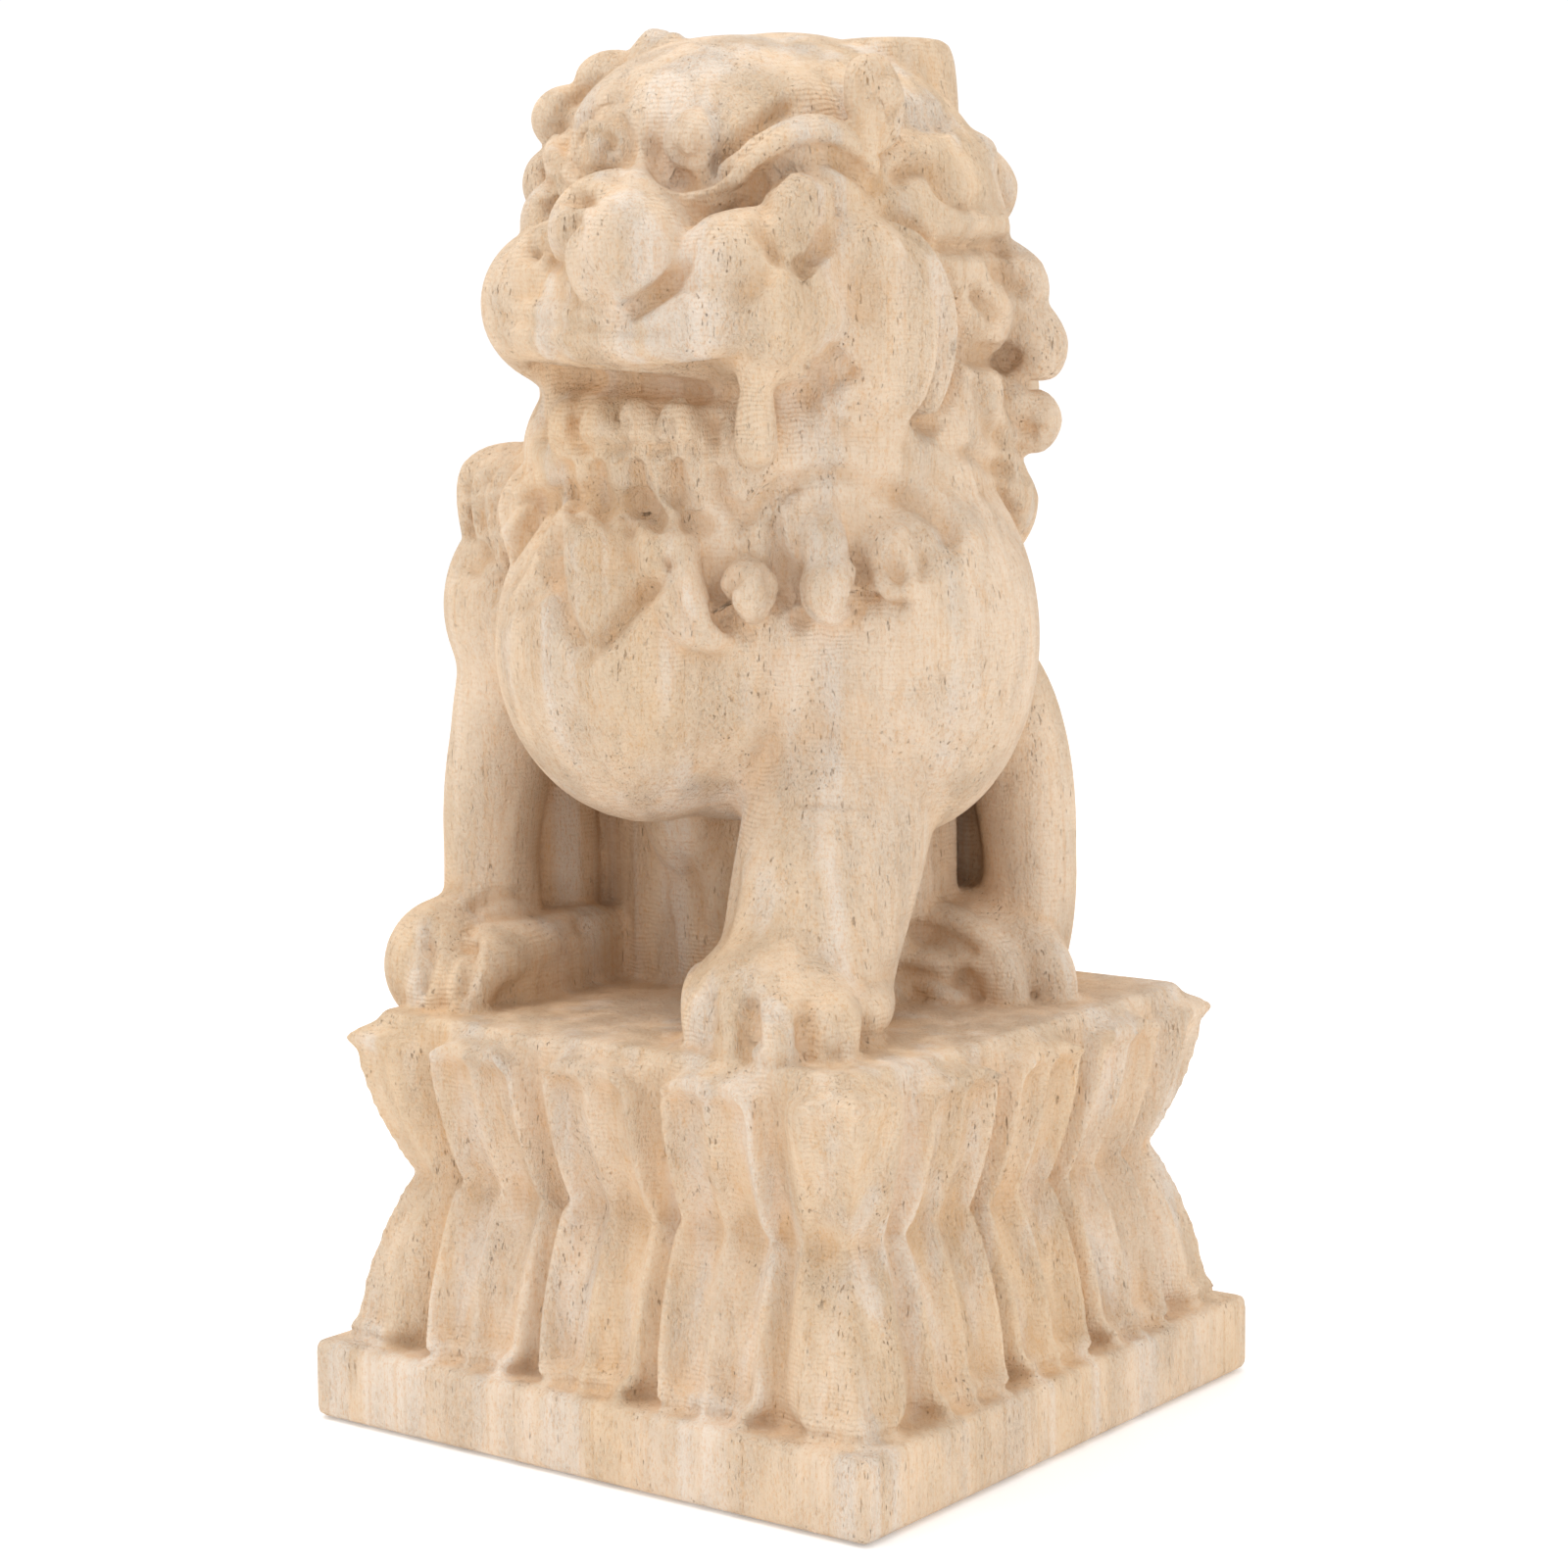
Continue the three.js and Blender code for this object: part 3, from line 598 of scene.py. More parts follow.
def chest_clay():
    body = on_body()
    lumps = [
        mass(body, (-3.5, 26.6, 49.5), (3.3, 3.9, 3.6)),
        mass(body, (5.4, 26.6, 49.5), (3.5, 3.9, 3.9)),
        strand(body, [(3.6, 23, 60), (4.6, 25.5, 55), (5.2, 26, 51)], [1.6, 2.6, 3]),
        strand(body, [(-9, 22, 60), (-12, 25, 53), (-9.5, 26.5, 46), (-5, 26, 44)], [3, 3.4, 3, 1.6]),
        strand(body, [(17, 18, 60), (19, 20, 53), (13, 25, 48.5), (9.5, 26, 51)], [3, 4, 3.6, 2]),
        mass(body, (12.5, 22, 53), (5, 4.6, 4.4)),
        strand(body, [(-18.6, 17, 60), (-21.6, 19.4, 53), (-21, 20.6, 41)], [5, 6.4, 1.2], flatness=0.7),
        strand(body, [(-13, 22, 60), (-12.6, 24.4, 54), (-15, 24.4, 46)], [3.6, 4, 1.2], flatness=0.7),
        strand(body, [(15, 17, 65), (19, 16, 60), (23, 13, 53)], [3, 3, 1.5]),
        strand(body, [(23.4, 5, 66), (25.8, 2.4, 59), (26, 1.4, 51)], [3, 3.4, 1.4]),
    ]
    for i in range(4):
        lumps.append(strand(
            body,
            [(-28 + i, i * 3.2 - 4, 64), (-35 + i * 1.9, i * 4 - 6, 61 - i),
             (-37 + i * 2.8, i * 4.4 - 6, 52 - i * 2.2)],
            [2.4, 3.2, 1],
        ))
    return lumps


def mane_clay():
    head = on_head()
    lumps = [
        strand(head, [(8, -10.5, 94), (8, -10.5, 102), (8, -10.5, 111)], [8.2, 8.4, 8.2], blunt=0.12),
        strand(head, [(-11.9, 9, 98), (-11.7, 9, 105), (-9.8, 9, 112.2)], [5.5, 4.8, 2], blunt=0.3),
        strand(head, [(-17, 10, 103), (-11, 10, 107.6), (-6, 10, 111)], [3.4, 3, 1.6]),
        mass(head, (-20.4, 12.5, 102.4), (4.6, 4.6, 4)),
        mass(head, (-21.4, 14, 95), (4, 4, 4.4)),
        mass(head, (-15.6, 10, 106.6), (4.6, 5, 3.6)),
    ]
    near_side = (
        ([(16.6, -8, 99), (17.4, -11, 96.2), (18.4, -12.4, 93.2)], [3.6, 5.2, 4.2]),
        ([(20.4, 7, 92.4), (22.4, 0, 90.6), (20.6, -9, 89.4), (19.6, -14, 88.6)], [3, 4, 4.6, 4]),
        ([(20.6, 0.4, 86), (20.6, -7, 80.6), (21.4, -12, 76.4)], [4, 5.8, 4.4]),
        ([(20.2, -11.4, 87.4), (22.8, -13.8, 83), (24.2, -15, 79)], [3.4, 4.4, 3.8]),
        ([(23.6, -14.6, 81), (25, -15.8, 76), (24.6, -15.6, 72)], [3.2, 3.8, 3.2]),
        ([(20.4, -0.6, 76), (20.6, -4.6, 70), (19.4, -9, 65)], [4, 6.4, 4.6]),
        ([(20, -10, 74.6), (21.4, -12, 69), (21.8, -13, 64.6)], [3.4, 4.6, 4]),
        ([(24, -14.6, 70.4), (25, -15.6, 67.4), (23.6, -15.4, 64)], [2.6, 3.2, 2.6]),
        ([(17, -1, 64), (18.4, -8, 60.6), (19.4, -14, 59)], [3.4, 4.4, 3.4]),
    )
    lumps += [strand(head, points, widths) for points, widths in near_side]
    tiers = [
        (100, 89, 25.5, 5.0, 49, 188, 5),
        (90, 77, 27.0, 5.4, 50, 172, 5),
        (79, 64, 28.0, 5.8, 52, 182, 5),
        (66, 50, 27.0, 5.6, 46, 164, 4),
    ]
    for top, bottom, radius, width, first, last, count in tiers:
        for i in range(count):
            angle = math.radians(first + (last - first) * i / (count - 1))
            lean = 0.09 if i < count / 2 else -0.09

            def point(turn, out, up):
                return (math.cos(angle + turn) * out, -math.sin(angle + turn) * out, up)

            lumps.append(strand(
                head,
                [point(0, radius - 5, top), point(lean, radius, (top + bottom) / 2),
                 point(lean * 3, radius + 0.5, bottom)],
                [width * 0.7, width, width * 0.45],
                flatness=0.75,
            ))
    return lumps


def tail_clay():
    body = on_body()
    lumps = [strand(body, [(0, -26, 58), (0, -32, 42), (0, -33, 24), (0, -30, 6)], [4, 4.4, 4.4, 5])]
    for way in (-1, 0, 1):
        top = 44 + 6 * (1 - abs(way))
        lumps.append(strand(
            body,
            [(way * 4, -32, 8), (way * 9, -34, 22), (way * 7, -35, 34), (way * 2, -34, top)],
            [4, 4.6, 3.6, 1],
            flatness=0.6,
        ))
    return lumps


# Gouge strokes: width, depth and path, all in millimetres.
# A path gives places as a viewer before the near corner sees them, sideways from the
# middle and up from the underside.

BROW_CUTS = (
    (1.3, 1.2, [(-5.5, 145.5), (-3.5, 148), (-0.5, 150.5), (2.5, 152)]),
    (1.5, 1.5, [
        (-8.5, 141), (-3.5, 141.6), (-0.5, 144.3), (2, 146.2),
        (5.5, 146.6), (9, 144.6), (11, 142.2),
    ]),
    (1.1, 0.9, [(9.5, 153), (11.5, 149), (13, 147)]),
    (1.3, 1.5, [(-13.6, 149.4), (-14.3, 146.6), (-12.6, 143.9), (-9.6, 143.2), (-7, 144.4), (-6, 147)]),
    (0.9, 0.8, [(-12.2, 147.6), (-10.8, 145.4), (-8.8, 146.2), (-9.2, 148.2)]),
    (1.1, 1.0, [
        (-23, 146.5), (-22.8, 149.5), (-20.4, 151.2), (-18, 150),
        (-17, 147), (-18.6, 144.2), (-21.5, 144.2),
    ]),
    (0.8, 0.9, [(-21.6, 148), (-20.4, 149.4), (-19, 148), (-19.6, 146.2)]),
)

EYE_CUTS = (
    (1.3, 1.3, [
        (-1.6, 141.5), (-1.6, 137.5), (0.2, 134.6), (3.0, 134),
        (5.2, 136), (5.9, 140), (5.2, 143.4),
    ]),
    (1.4, 0.9, [(-3.4, 141.5), (-1.4, 143.8), (2.6, 145), (6.4, 144)]),
)

NOSE_CUTS = (
    (1.4, 1.2, [(-18.6, 127.6), (-15.4, 129.6), (-12.4, 131.8), (-10, 134.8)]),
    (1.4, 1.7, [(-28.7, 135.2)]),
    (1.2, 0.9, [(-29.8, 136.6), (-26.6, 135.6), (-25, 133)]),
    (1.6, 1.3, [(-23.4, 141.5), (-23.8, 136), (-22, 131), (-19, 128)]),
    (1.6, 0.5, [(-11, 128.4), (-6.5, 129.5), (-3, 131.5), (-0.5, 134.5)]),
)

LIP_CUTS = (
    (1.4, 0.8, [(-34, 128.5), (-30, 127.5), (-25.5, 127), (-20.5, 126.5), (-15, 126), (-10.5, 126.6)]),
    (1.6, 0.6, [(-9.5, 126.5), (-6, 128), (-3, 130.5), (-1, 134)]),
    (1.7, 1.5, [(1.6, 135.4), (4, 131.5), (4.6, 127), (3.6, 123), (0.8, 120.8)]),
    (0.8, 0.5, [(-26, 124.5), (-25.5, 122)]),
    (0.8, 0.5, [(-22.5, 124.5), (-21.5, 121.5)]),
)

MOUTH_CUTS = (
    (1.4, 2.0, [(-31.5, 122), (-27, 121), (-21.5, 120.4), (-15.5, 119.8), (-10, 119.2), (-6.8, 118.6)]),
    (1.0, 1.2, [(-27.6, 117), (-28, 113.6)]),
    (1.0, 1.2, [(-23.6, 117), (-24.1, 113.6)]),
    (1.0, 1.2, [(-18.4, 116.8), (-18.8, 113.2)]),
    (1.0, 1.2, [(-13, 116.6), (-13.2, 113)]),
    (1.2, 1.3, [(-7.6, 116.8), (-7.6, 112.8)]),
    (1.3, 0.9, [(-27.5, 113.2), (-21.5, 112.8), (-14.5, 112.6), (-7, 112.4)]),
)

CAVITY_CUTS = (
    (3.0, 1.6, [(3.4, 119.4), (6, 121), (8.6, 123.4)]),
    (3.6, 1.4, [(7.6, 122.6), (9.4, 119), (8.2, 115)]),
)

JOWL_CUTS = (
    (1.9, 0.7, [(5.5, 134.5), (8, 130), (10.6, 126)]),
    (1.6, 1.8, [
        (12.5, 140), (16.4, 135.6), (19.2, 130), (20, 125),
        (19.2, 120), (17.4, 116), (14.8, 112.6),
    ]),
    (1.8, 1.6, [(16, 114), (17.4, 115.2), (19, 114)]),
)

MANE_CUTS = (
    (1.6, 1.9, [(12.6, 142.5), (15, 144.5), (18, 144.5), (19.6, 142), (22, 140.5), (25.6, 140.2)]),
    (1.2, 0.9, [(12.8, 139.5), (15.5, 137.5), (17.5, 135.8)]),
    (1.5, 1.8, [(17.6, 135.5), (23, 135.5), (28, 135.4)]),
    (1.4, 1.2, [(24.5, 135), (26.5, 131.5), (29.8, 128.8)]),
    (1.2, 1.5, [(22.6, 130.6), (25.6, 126)]),
    (1.7, 1.4, [(20.4, 125), (22, 123.4), (25, 122.8), (28.4, 122.4)]),
    (1.5, 1.3, [(26.5, 122), (27, 117.5), (28.5, 114.5), (30.4, 114)]),
    (1.2, 1.0, [(22.8, 121.4), (23.4, 117), (25, 112.6)]),
    (1.4, 1.0, [(20, 112.6), (23.5, 111.4), (25, 110), (28, 109.4)]),
    (1.5, 1.1, [(12.2, 156.5), (12, 153.5), (12.6, 150.6)]),
    (1.9, 1.3, [(12.4, 150.4), (16.5, 150), (20.8, 149.6)]),
    (1.1, 0.7, [(9.5, 154), (12.5, 150), (14, 146.5)]),
)

CURL_CUTS = (
    (1.4, 1.1, [(-17.5, 157), (-18, 153), (-21.5, 151.5), (-23, 147.5), (-22, 143)]),
    (1.1, 0.9, [(-22.5, 154.5), (-24.5, 151), (-24.5, 147)]),
    (1.3, 1.2, [(-27, 152), (-25, 147), (-26.5, 144.5), (-24, 142), (-21.5, 141.5)]),
    (1.1, 0.8, [(-19, 155.5), (-21.5, 153.5), (-23.5, 152.5)]),
    (1.3, 0.9, [(-27.5, 140), (-24.5, 141), (-20.5, 142)]),
)

LOCK_CUTS = (
    (1.2, 0.9, [(-38, 107.5), (-34, 109), (-29, 110.5)]),
    (1.7, 1.2, [(-36.5, 104.5), (-34, 106), (-31, 108)]),
    (1.1, 0.9, [(-39, 103), (-34, 104), (-30.5, 106.5), (-27, 107.5)]),
    (1.9, 1.3, [(-37, 98), (-35.5, 100), (-34, 101.5)]),
    (1.8, 1.3, [(-33.5, 96), (-31.5, 99), (-30, 102), (-27, 105)]),
    (1.3, 1.1, [(-32.5, 93), (-28.5, 96.5), (-27, 101), (-27, 106)]),
    (1.5, 1.8, [(-27, 106), (-27, 99), (-25.5, 93), (-23, 88.5)]),
    (1.7, 1.8, [(-23, 88.5), (-20, 91.5), (-17, 95), (-14, 98.5), (-13.5, 101.5)]),
    (1.8, 0.9, [(-14.5, 100)]),
    (1.3, 0.9, [(-12, 102.5), (-12.5, 96.5), (-11.5, 93), (-9, 90.5)]),
    (1.5, 0.9, [(-27, 107.5), (-20.5, 107), (-12.5, 104.5), (-6, 103.5)]),
    (1.5, 1, [(-6, 103.5), (-3, 105.5), (0, 108.5), (6, 109.5), (12, 108)]),
)

BELL_CUTS = (
    (1.4, 1.5, [(-4.5, 98.5), (-7, 96.5), (-7, 93.5), (-4.5, 91)]),
    (1.2, 1, [(-2, 99), (-0.5, 96), (-1, 92.5)]),
    (1.4, 1.6, [(0, 96.5), (1.5, 94)]),
    (1.7, 1.4, [(2, 92.5)]),
    (1.5, 1.4, [(-1, 106), (-0.5, 101), (1.5, 96)]),
    (1.4, 1.2, [(-0.5, 106.5), (2.5, 108.5)]),
    (1.4, 1.3, [(8.5, 100), (9.5, 96), (8, 92.5)]),
    (1.5, 0.6, [(12, 100), (14, 96.5)]),
    (1.3, 1.7, [(9.5, 95.5), (12, 94), (16, 94.5)]),
    (1.7, 1.2, [(11.5, 107.5), (16, 106), (19, 103.5), (20, 100.5)]),
    (1.2, 0.8, [(15, 104), (16.5, 100.5), (16.5, 96)]),
    (1.3, 0.8, [(23, 108.5), (26.5, 105), (28, 100.5)]),
)

CHEST_CUTS = (
    (2.0, 1.0, [(-0.5, 90.5), (-1, 85), (-1.5, 79), (-3.5, 74)]),
    (0.5, 0.4, [(0, 71), (9.5, 70.5)]),
    (1.6, 1.4, [(-25.5, 112), (-25, 108), (-22.5, 104)]),
    (1.7, 1.6, [(-22, 112), (-21.5, 108), (-19.5, 103.5)]),
    (1.7, 1.6, [(-17.5, 112), (-16.5, 107.5), (-13.5, 102.5)]),
    (1.7, 1.6, [(-12.5, 112), (-12, 107), (-9.5, 103)]),
    (1.5, 1.4, [(-7, 111), (-7, 107), (-4.5, 104.5)]),
)

GAP_CUTS = (
    (1, 0.7, [(-14, 58.5), (-13.5, 51)]),
    (1.1, 0.7, [(-12, 65.5), (-10.5, 61), (-9.5, 54)]),
    (1.4, 0.8, [(-7, 66), (-6.5, 61.5), (-8, 55.5), (-11.5, 50)]),
)

FOOT_CUTS = (
    (1.3, 1.4, [(-37, 56), (-37.5, 51.5), (-39, 47)]),
    (1.2, 1.2, [(-41.6, 56), (-42.3, 51.5), (-43.5, 48)]),
    (1.2, 0.8, [(-37.5, 58.5), (-34, 60.5), (-29.5, 60.5)]),
    (1.2, 0.8, [(-24.5, 57.5), (-23.5, 56)]),
    (1.3, 1.2, [(-9.6, 49), (-9.2, 43)]),
    (1.5, 1.6, [(-4.6, 49), (-4.4, 41)]),
    (1.2, 0.8, [(-2, 46), (0.6, 44.8)]),
    (1.3, 1.2, [(2.2, 46.5), (2.2, 41)]),
    (1.1, 0.7, [(6, 46.5), (7, 43), (5.5, 40)]),
    (1.6, 1.5, [(14.5, 56), (19, 55), (23, 52.5)]),
    (1.7, 1.6, [(12.5, 50.8), (18, 50.2), (22.4, 49.4)]),
    (4.5, 0.6, [(13, 42.5), (18, 40.5), (23, 43)]),
    (1.2, 0.4, [(-35.5, 45.5), (-28.5, 44), (-23.5, 41.5), (-17, 41), (-13, 43.5)]),
)

VIEWER_BEARING = math.radians(37.07)
VIEWER_DISTANCE = 395.6 * MM
EYE_LEVEL = 119.4 * MM

# A stroke is cut in full where the surface faces the viewer by more than these two together
LEAST_FACING = 0.02
FACING_FADE = 0.25
STROKE_FADE = 0.15
STROKE_END = 0.35
STROKE_SPREAD = 1.25


class Gouge:
    """Cuts strokes into a piece for a viewer who stands before its near corner."""

    def __init__(self, piece):
        self.piece = piece
        self.points = points_of(piece)
        self.normals = normals_of(piece)
        across = np.array([math.cos(VIEWER_BEARING), math.sin(VIEWER_BEARING), 0])
        towards = np.array([math.sin(VIEWER_BEARING), -math.cos(VIEWER_BEARING), 0])
        eye = towards * VIEWER_DISTANCE + [0, 0, EYE_LEVEL]
        growth = VIEWER_DISTANCE / (VIEWER_DISTANCE - self.points @ towards)
        upward = EYE_LEVEL + (self.points[:, 2] - EYE_LEVEL) * growth
        self.seen = np.stack([(self.points @ across) * growth, upward], axis=1) / MM
        facing = np.sum(self.normals * unit(eye - self.points), axis=1)
        self.share = np.clip((facing - LEAST_FACING) / FACING_FADE, 0, 1)

    def cut(self, width, depth, path):
        controls = np.array(path, float)
        low, high = controls.min(axis=0) - width, controls.max(axis=0) + width
        rows = np.where(np.all((self.seen > low) & (self.seen < high), axis=1) & (self.share > 0))[0]
        if not len(rows):
            return
        spots = self.seen[rows]
        if len(path) == 1:
            distance = np.hypot(*(spots - controls[0]).T)
            fade = np.ones(len(rows))
        else:
            shares = np.linspace(0, 1, 8 * len(path))
            line = along_spline(controls, shares)
            legs = np.diff(line, axis=0)
            offset = spots[:, None] - line[None, :-1]
            t = np.clip(np.sum(offset * legs, axis=2) / np.maximum(np.sum(legs**2, axis=1), 1e-9), 0, 1)
            gaps = np.linalg.norm(offset - t[:, :, None] * legs, axis=2)
            nearest = gaps.argmin(axis=1)
            distance = gaps[np.arange(len(rows)), nearest]
            position = (nearest + t[np.arange(len(rows)), nearest]) / len(legs)
            fade = np.clip(np.minimum(position, 1 - position) / STROKE_FADE, STROKE_END, 1)
        nearness = np.clip(distance / (STROKE_SPREAD * width), 0, 1)
        bite = (1 + np.cos(np.pi * nearness)) / 2 * fade * self.share[rows]
        self.points[rows] -= self.normals[rows] * (bite * depth * MM)[:, None]

    def put_down(self):
        set_points(self.piece, self.points)


def cut_strokes(piece):
    groups = (
        BROW_CUTS, EYE_CUTS, NOSE_CUTS, LIP_CUTS, MOUTH_CUTS, CAVITY_CUTS, JOWL_CUTS, MANE_CUTS, CURL_CUTS,
        LOCK_CUTS, BELL_CUTS, CHEST_CUTS, GAP_CUTS, FOOT_CUTS,
    )
    for group in groups:
        gouge = Gouge(piece)
        for stroke in group:
            gouge.cut(*stroke)
        gouge.put_down()


# Wood

# Each scale of the hollows that get painted shade: rounds of smoothing, and the depth in millimetres that
# counts as full
HOLLOW_SCALES = ((6, 0.25), (18, 0.7), (60, 1.9))
HOLLOW_SUM = 2.2
SAWN_MARGIN = 0.4 * MM


def neighbour_mean(points, ends, count):
    """Each point's mean neighbour."""
    total = np.stack([
        np.bincount(ends[:, 0], points[ends[:, 1], k], len(points))
        + np.bincount(ends[:, 1], points[ends[:, 0], k], len(points))
        for k in range(3)
    ], axis=1)
    return total / count[:, None]


def mark_hollows(piece):
    """Stores how deep each place lies in the hollows, as the amount of painted shade there, and which
    places are sawn flat.
    """
    points = points_of(piece)
    normals = normals_of(piece)
    ends = np.empty(len(piece.data.edges) * 2, dtype=np.int64)
    piece.data.edges.foreach_get("vertices", ends)
    ends = ends.reshape(-1, 2)
    count = np.maximum(np.bincount(ends.ravel(), minlength=len(points)), 1)
    mean = points
    painted_hollow_shade = np.zeros(len(points))
    for times, depth in HOLLOW_SCALES:
        for _ in range(times):
            mean = neighbour_mean(mean, ends, count)
        sunk = np.sum((mean - points) * normals, axis=1) / (depth * MM)
        painted_hollow_shade += np.clip(sunk, -0.3, 1.0) / HOLLOW_SUM
    size = sizes()
    from_middle = np.maximum(np.abs(points[:, 0]), np.abs(points[:, 1]))
    flat_side = from_middle > size.slab_width / 2 - SAWN_MARGIN
    sawn = (flat_side & (points[:, 2] < size.slab_height)).astype(float)
    # The depth in the hollows is stored as the mask for painted shade in the colour.
    for name, values in (("painted_hollow_shade", np.clip(painted_hollow_shade, 0, 1)), ("sawn", sawn)):
        attribute = piece.data.attributes.new(name, "FLOAT", "POINT")
        attribute.data.foreach_set("value", values.astype(np.float32))


def linear(hex_colour):
    """An sRGB hex colour as linear red, green, blue and alpha."""
    channels = [int(hex_colour[i:i + 2], 16) / 255 for i in (1, 3, 5)]
    return [c / 12.92 if c <= 0.04045 else ((c + 0.055) / 1.055) ** 2.4 for c in channels] + [1.0]


def node(tree, kind, settings=None, links=None, **values):
    """Adds a node with its settings, socket values and links."""
    made = tree.nodes.new(kind)
    for key, value in (settings or {}).items():
        setattr(made, key, value)
    for key, value in values.items():
        made.inputs[key.replace("_", " ")].default_value = value
    for socket, source in (links or {}).items():
        tree.links.new(source, made.inputs[socket])
    return made


def stretched_noise(tree, place, across, along, detail=2.0, roughness=0.5):
    """Noise whose grains are `across` wide and `along` tall, both in metres."""
    grains = (1 / across, 1 / across, 1 / along)
    scaled = node(tree, "ShaderNodeMapping", links={"Vector": place}, Scale=grains)
    return node(
        tree, "ShaderNodeTexNoise", links={"Vector": scaled.outputs[0]},
        Scale=1.0, Detail=detail, Roughness=roughness,
    ).outputs["Fac"]


def between(tree, value, low, high):
    """Maps a value to 0 at low and 1 at high, held there beyond."""
    return node(
        tree, "ShaderNodeMapRange", {"interpolation_type": "SMOOTHSTEP"}, {"Value": value},
        From_Min=low, From_Max=high,
    ).outputs["Result"]


def sums(tree, operation, first, second):
    """One math node; each side is a socket or a number."""
    made = node(tree, "ShaderNodeMath", {"operation": operation})
    for socket, side in zip(made.inputs, (first, second)):
        if isinstance(side, (int, float)):
            socket.default_value = side
        else:
            tree.links.new(side, socket)
    return made.outputs[0]


def tinted(tree, share, under, over):
    """Lays a hex colour over a colour socket or hex colour by a share."""
    mix = node(tree, "ShaderNodeMix", {"data_type": "RGBA", "blend_type": "MIX", "clamp_factor": True})
    tree.links.new(share, mix.inputs[0])
    for socket, colour in ((mix.inputs[6], under), (mix.inputs[7], over)):
        if isinstance(colour, str):
            socket.default_value = linear(colour)
        else:
            tree.links.new(colour, socket)
    return mix.outputs[2]


def raised(tree, height, distance, strength, under=None):
    """A bump of the given height in metres, on top of another."""
    links = {"Height": height}
    if under is not None:
        links["Normal"] = under
    return node(tree, "ShaderNodeBump", None, links, Distance=distance, Strength=strength).outputs["Normal"]


STEP_HEIGHT = 0.075 * MM
FUZZ_HEIGHT = 0.42 * MM
CRUMB_HEIGHT = 0.4 * MM
PORE_DEPTH = 0.18 * MM


def raw_softwood():
    """Raw pale softwood, cut by a ball-nosed cutter and not sanded.

    The grain stands upright through the whole block, so its bands depend mostly on the
    place across the block; torn fibre and fine steps of the cutter make it matt. Shade is
    painted into the colour: darker orange in the hollows and on the shadowed sides of the fibre.
    """
    wood = look()
    material = bpy.data.materials.new("raw softwood")
    material.use_nodes = True
    tree = material.node_tree
    tree.nodes.clear()
    place = node(tree, "ShaderNodeTexCoord").outputs["Object"]
    # Mask of painted shade: how deep each place lies in the hollows.
    painted_hollow_shade = node(tree, "ShaderNodeAttribute", {"attribute_name": "painted_hollow_shade"}).outputs["Fac"]
    smooth = node(tree, "ShaderNodeAttribute", {"attribute_name": "sawn"}).outputs["Fac"]

    streaks = stretched_noise(tree, place, wood.streak_width, 220 * MM, 2.0, 0.55)
    clouds = stretched_noise(tree, place, 22 * MM, 60 * MM, 2.0)
    lines = stretched_noise(tree, place, 0.8 * MM, 60 * MM, 3.0, 0.6)
    torn = stretched_noise(tree, place, 5 * MM, 16 * MM, 3.0, 0.6)
    # Fibre noise: it raises the fuzz bump and also paints the shadowed sides of the fibres darker.
    fibres_and_their_shade = stretched_noise(tree, place, 0.24 * MM, 0.6 * MM, 3.0, 0.7)
    dashes = stretched_noise(tree, place, 0.32 * MM, wood.pore_length, 1.5, 0.5)
    rare = stretched_noise(tree, place, 4 * MM, 9 * MM, 2.0)
    crumbs = stretched_noise(tree, place, 0.7 * MM, 1.3 * MM, 2.0, 0.6)

    pores = sums(tree, "MULTIPLY", between(tree, dashes, 0.64, 0.74), between(tree, rare, 0.42, 0.66))
    bleach = between(tree, streaks, 0.50, 0.66)
    rough_patch = between(tree, torn, 0.32, 0.72)

    # Each layer: where it lies, how much of it shows, and its colour
    layers = (
        (bleach, 0.6, wood.bleached),
        (between(tree, lines, 0.45, 0.75), 0.30, wood.painted_hollow_shade),
        # Painted shade: the shadowed sides of the torn fibres, darkened in the colour.
        (between(tree, fibres_and_their_shade, 0.48, 0.68), 0.42, wood.painted_hollow_shade),
        # Painted shade: the hollows are darkened towards orange, where shade and bounced light fall.
        (painted_hollow_shade, 0.26, wood.painted_hollow_shade),
        (pores, 0.55, wood.pore),
    )
    colour = tinted(tree, between(tree, clouds, 0.30, 0.75), wood.pale, wood.warm)
    for where, share, over in layers:
        colour = tinted(tree, sums(tree, "MULTIPLY", where, share), colour, over)

    upright = node(tree, "ShaderNodeSeparateXYZ", links={"Vector": place}).outputs["Z"]
    wander = sums(tree, "MULTIPLY", stretched_noise(tree, place, 3 * MM, 3 * MM, 1.0), 1.2 * MM)
    height = sums(tree, "ADD", upright, wander)
    turns = sums(tree, "MULTIPLY", height, 2 * math.pi / wood.tool_step)
    passes = sums(tree, "SINE", turns, 0.0)
    worked = sums(tree, "SUBTRACT", 1.0, smooth)
    calm = sums(tree, "SUBTRACT", 1.0, sums(tree, "MULTIPLY", rough_patch, 0.8))
    steps = sums(tree, "MULTIPLY", sums(tree, "MULTIPLY", passes, worked), calm)

    fuzz = sums(tree, "MULTIPLY", fibres_and_their_shade, sums(tree, "ADD", rough_patch, 0.6))
    normal = raised(tree, steps, STEP_HEIGHT, 0.5)
    normal = raised(tree, fuzz, FUZZ_HEIGHT, 0.9, normal)
    normal = raised(tree, sums(tree, "MULTIPLY", crumbs, rough_patch), CRUMB_HEIGHT, 0.8, normal)
    normal = raised(tree, sums(tree, "SUBTRACT", 1.0, pores), PORE_DEPTH, 0.9, normal)

    surface = node(
        tree, "ShaderNodeBsdfPrincipled", None, {"Base Color": colour, "Normal": normal},
        Roughness=0.9, Specular_IOR_Level=0.12,
    )
    node(tree, "ShaderNodeOutputMaterial", None, {"Surface": surface.outputs[0]})
    return material


# Operators


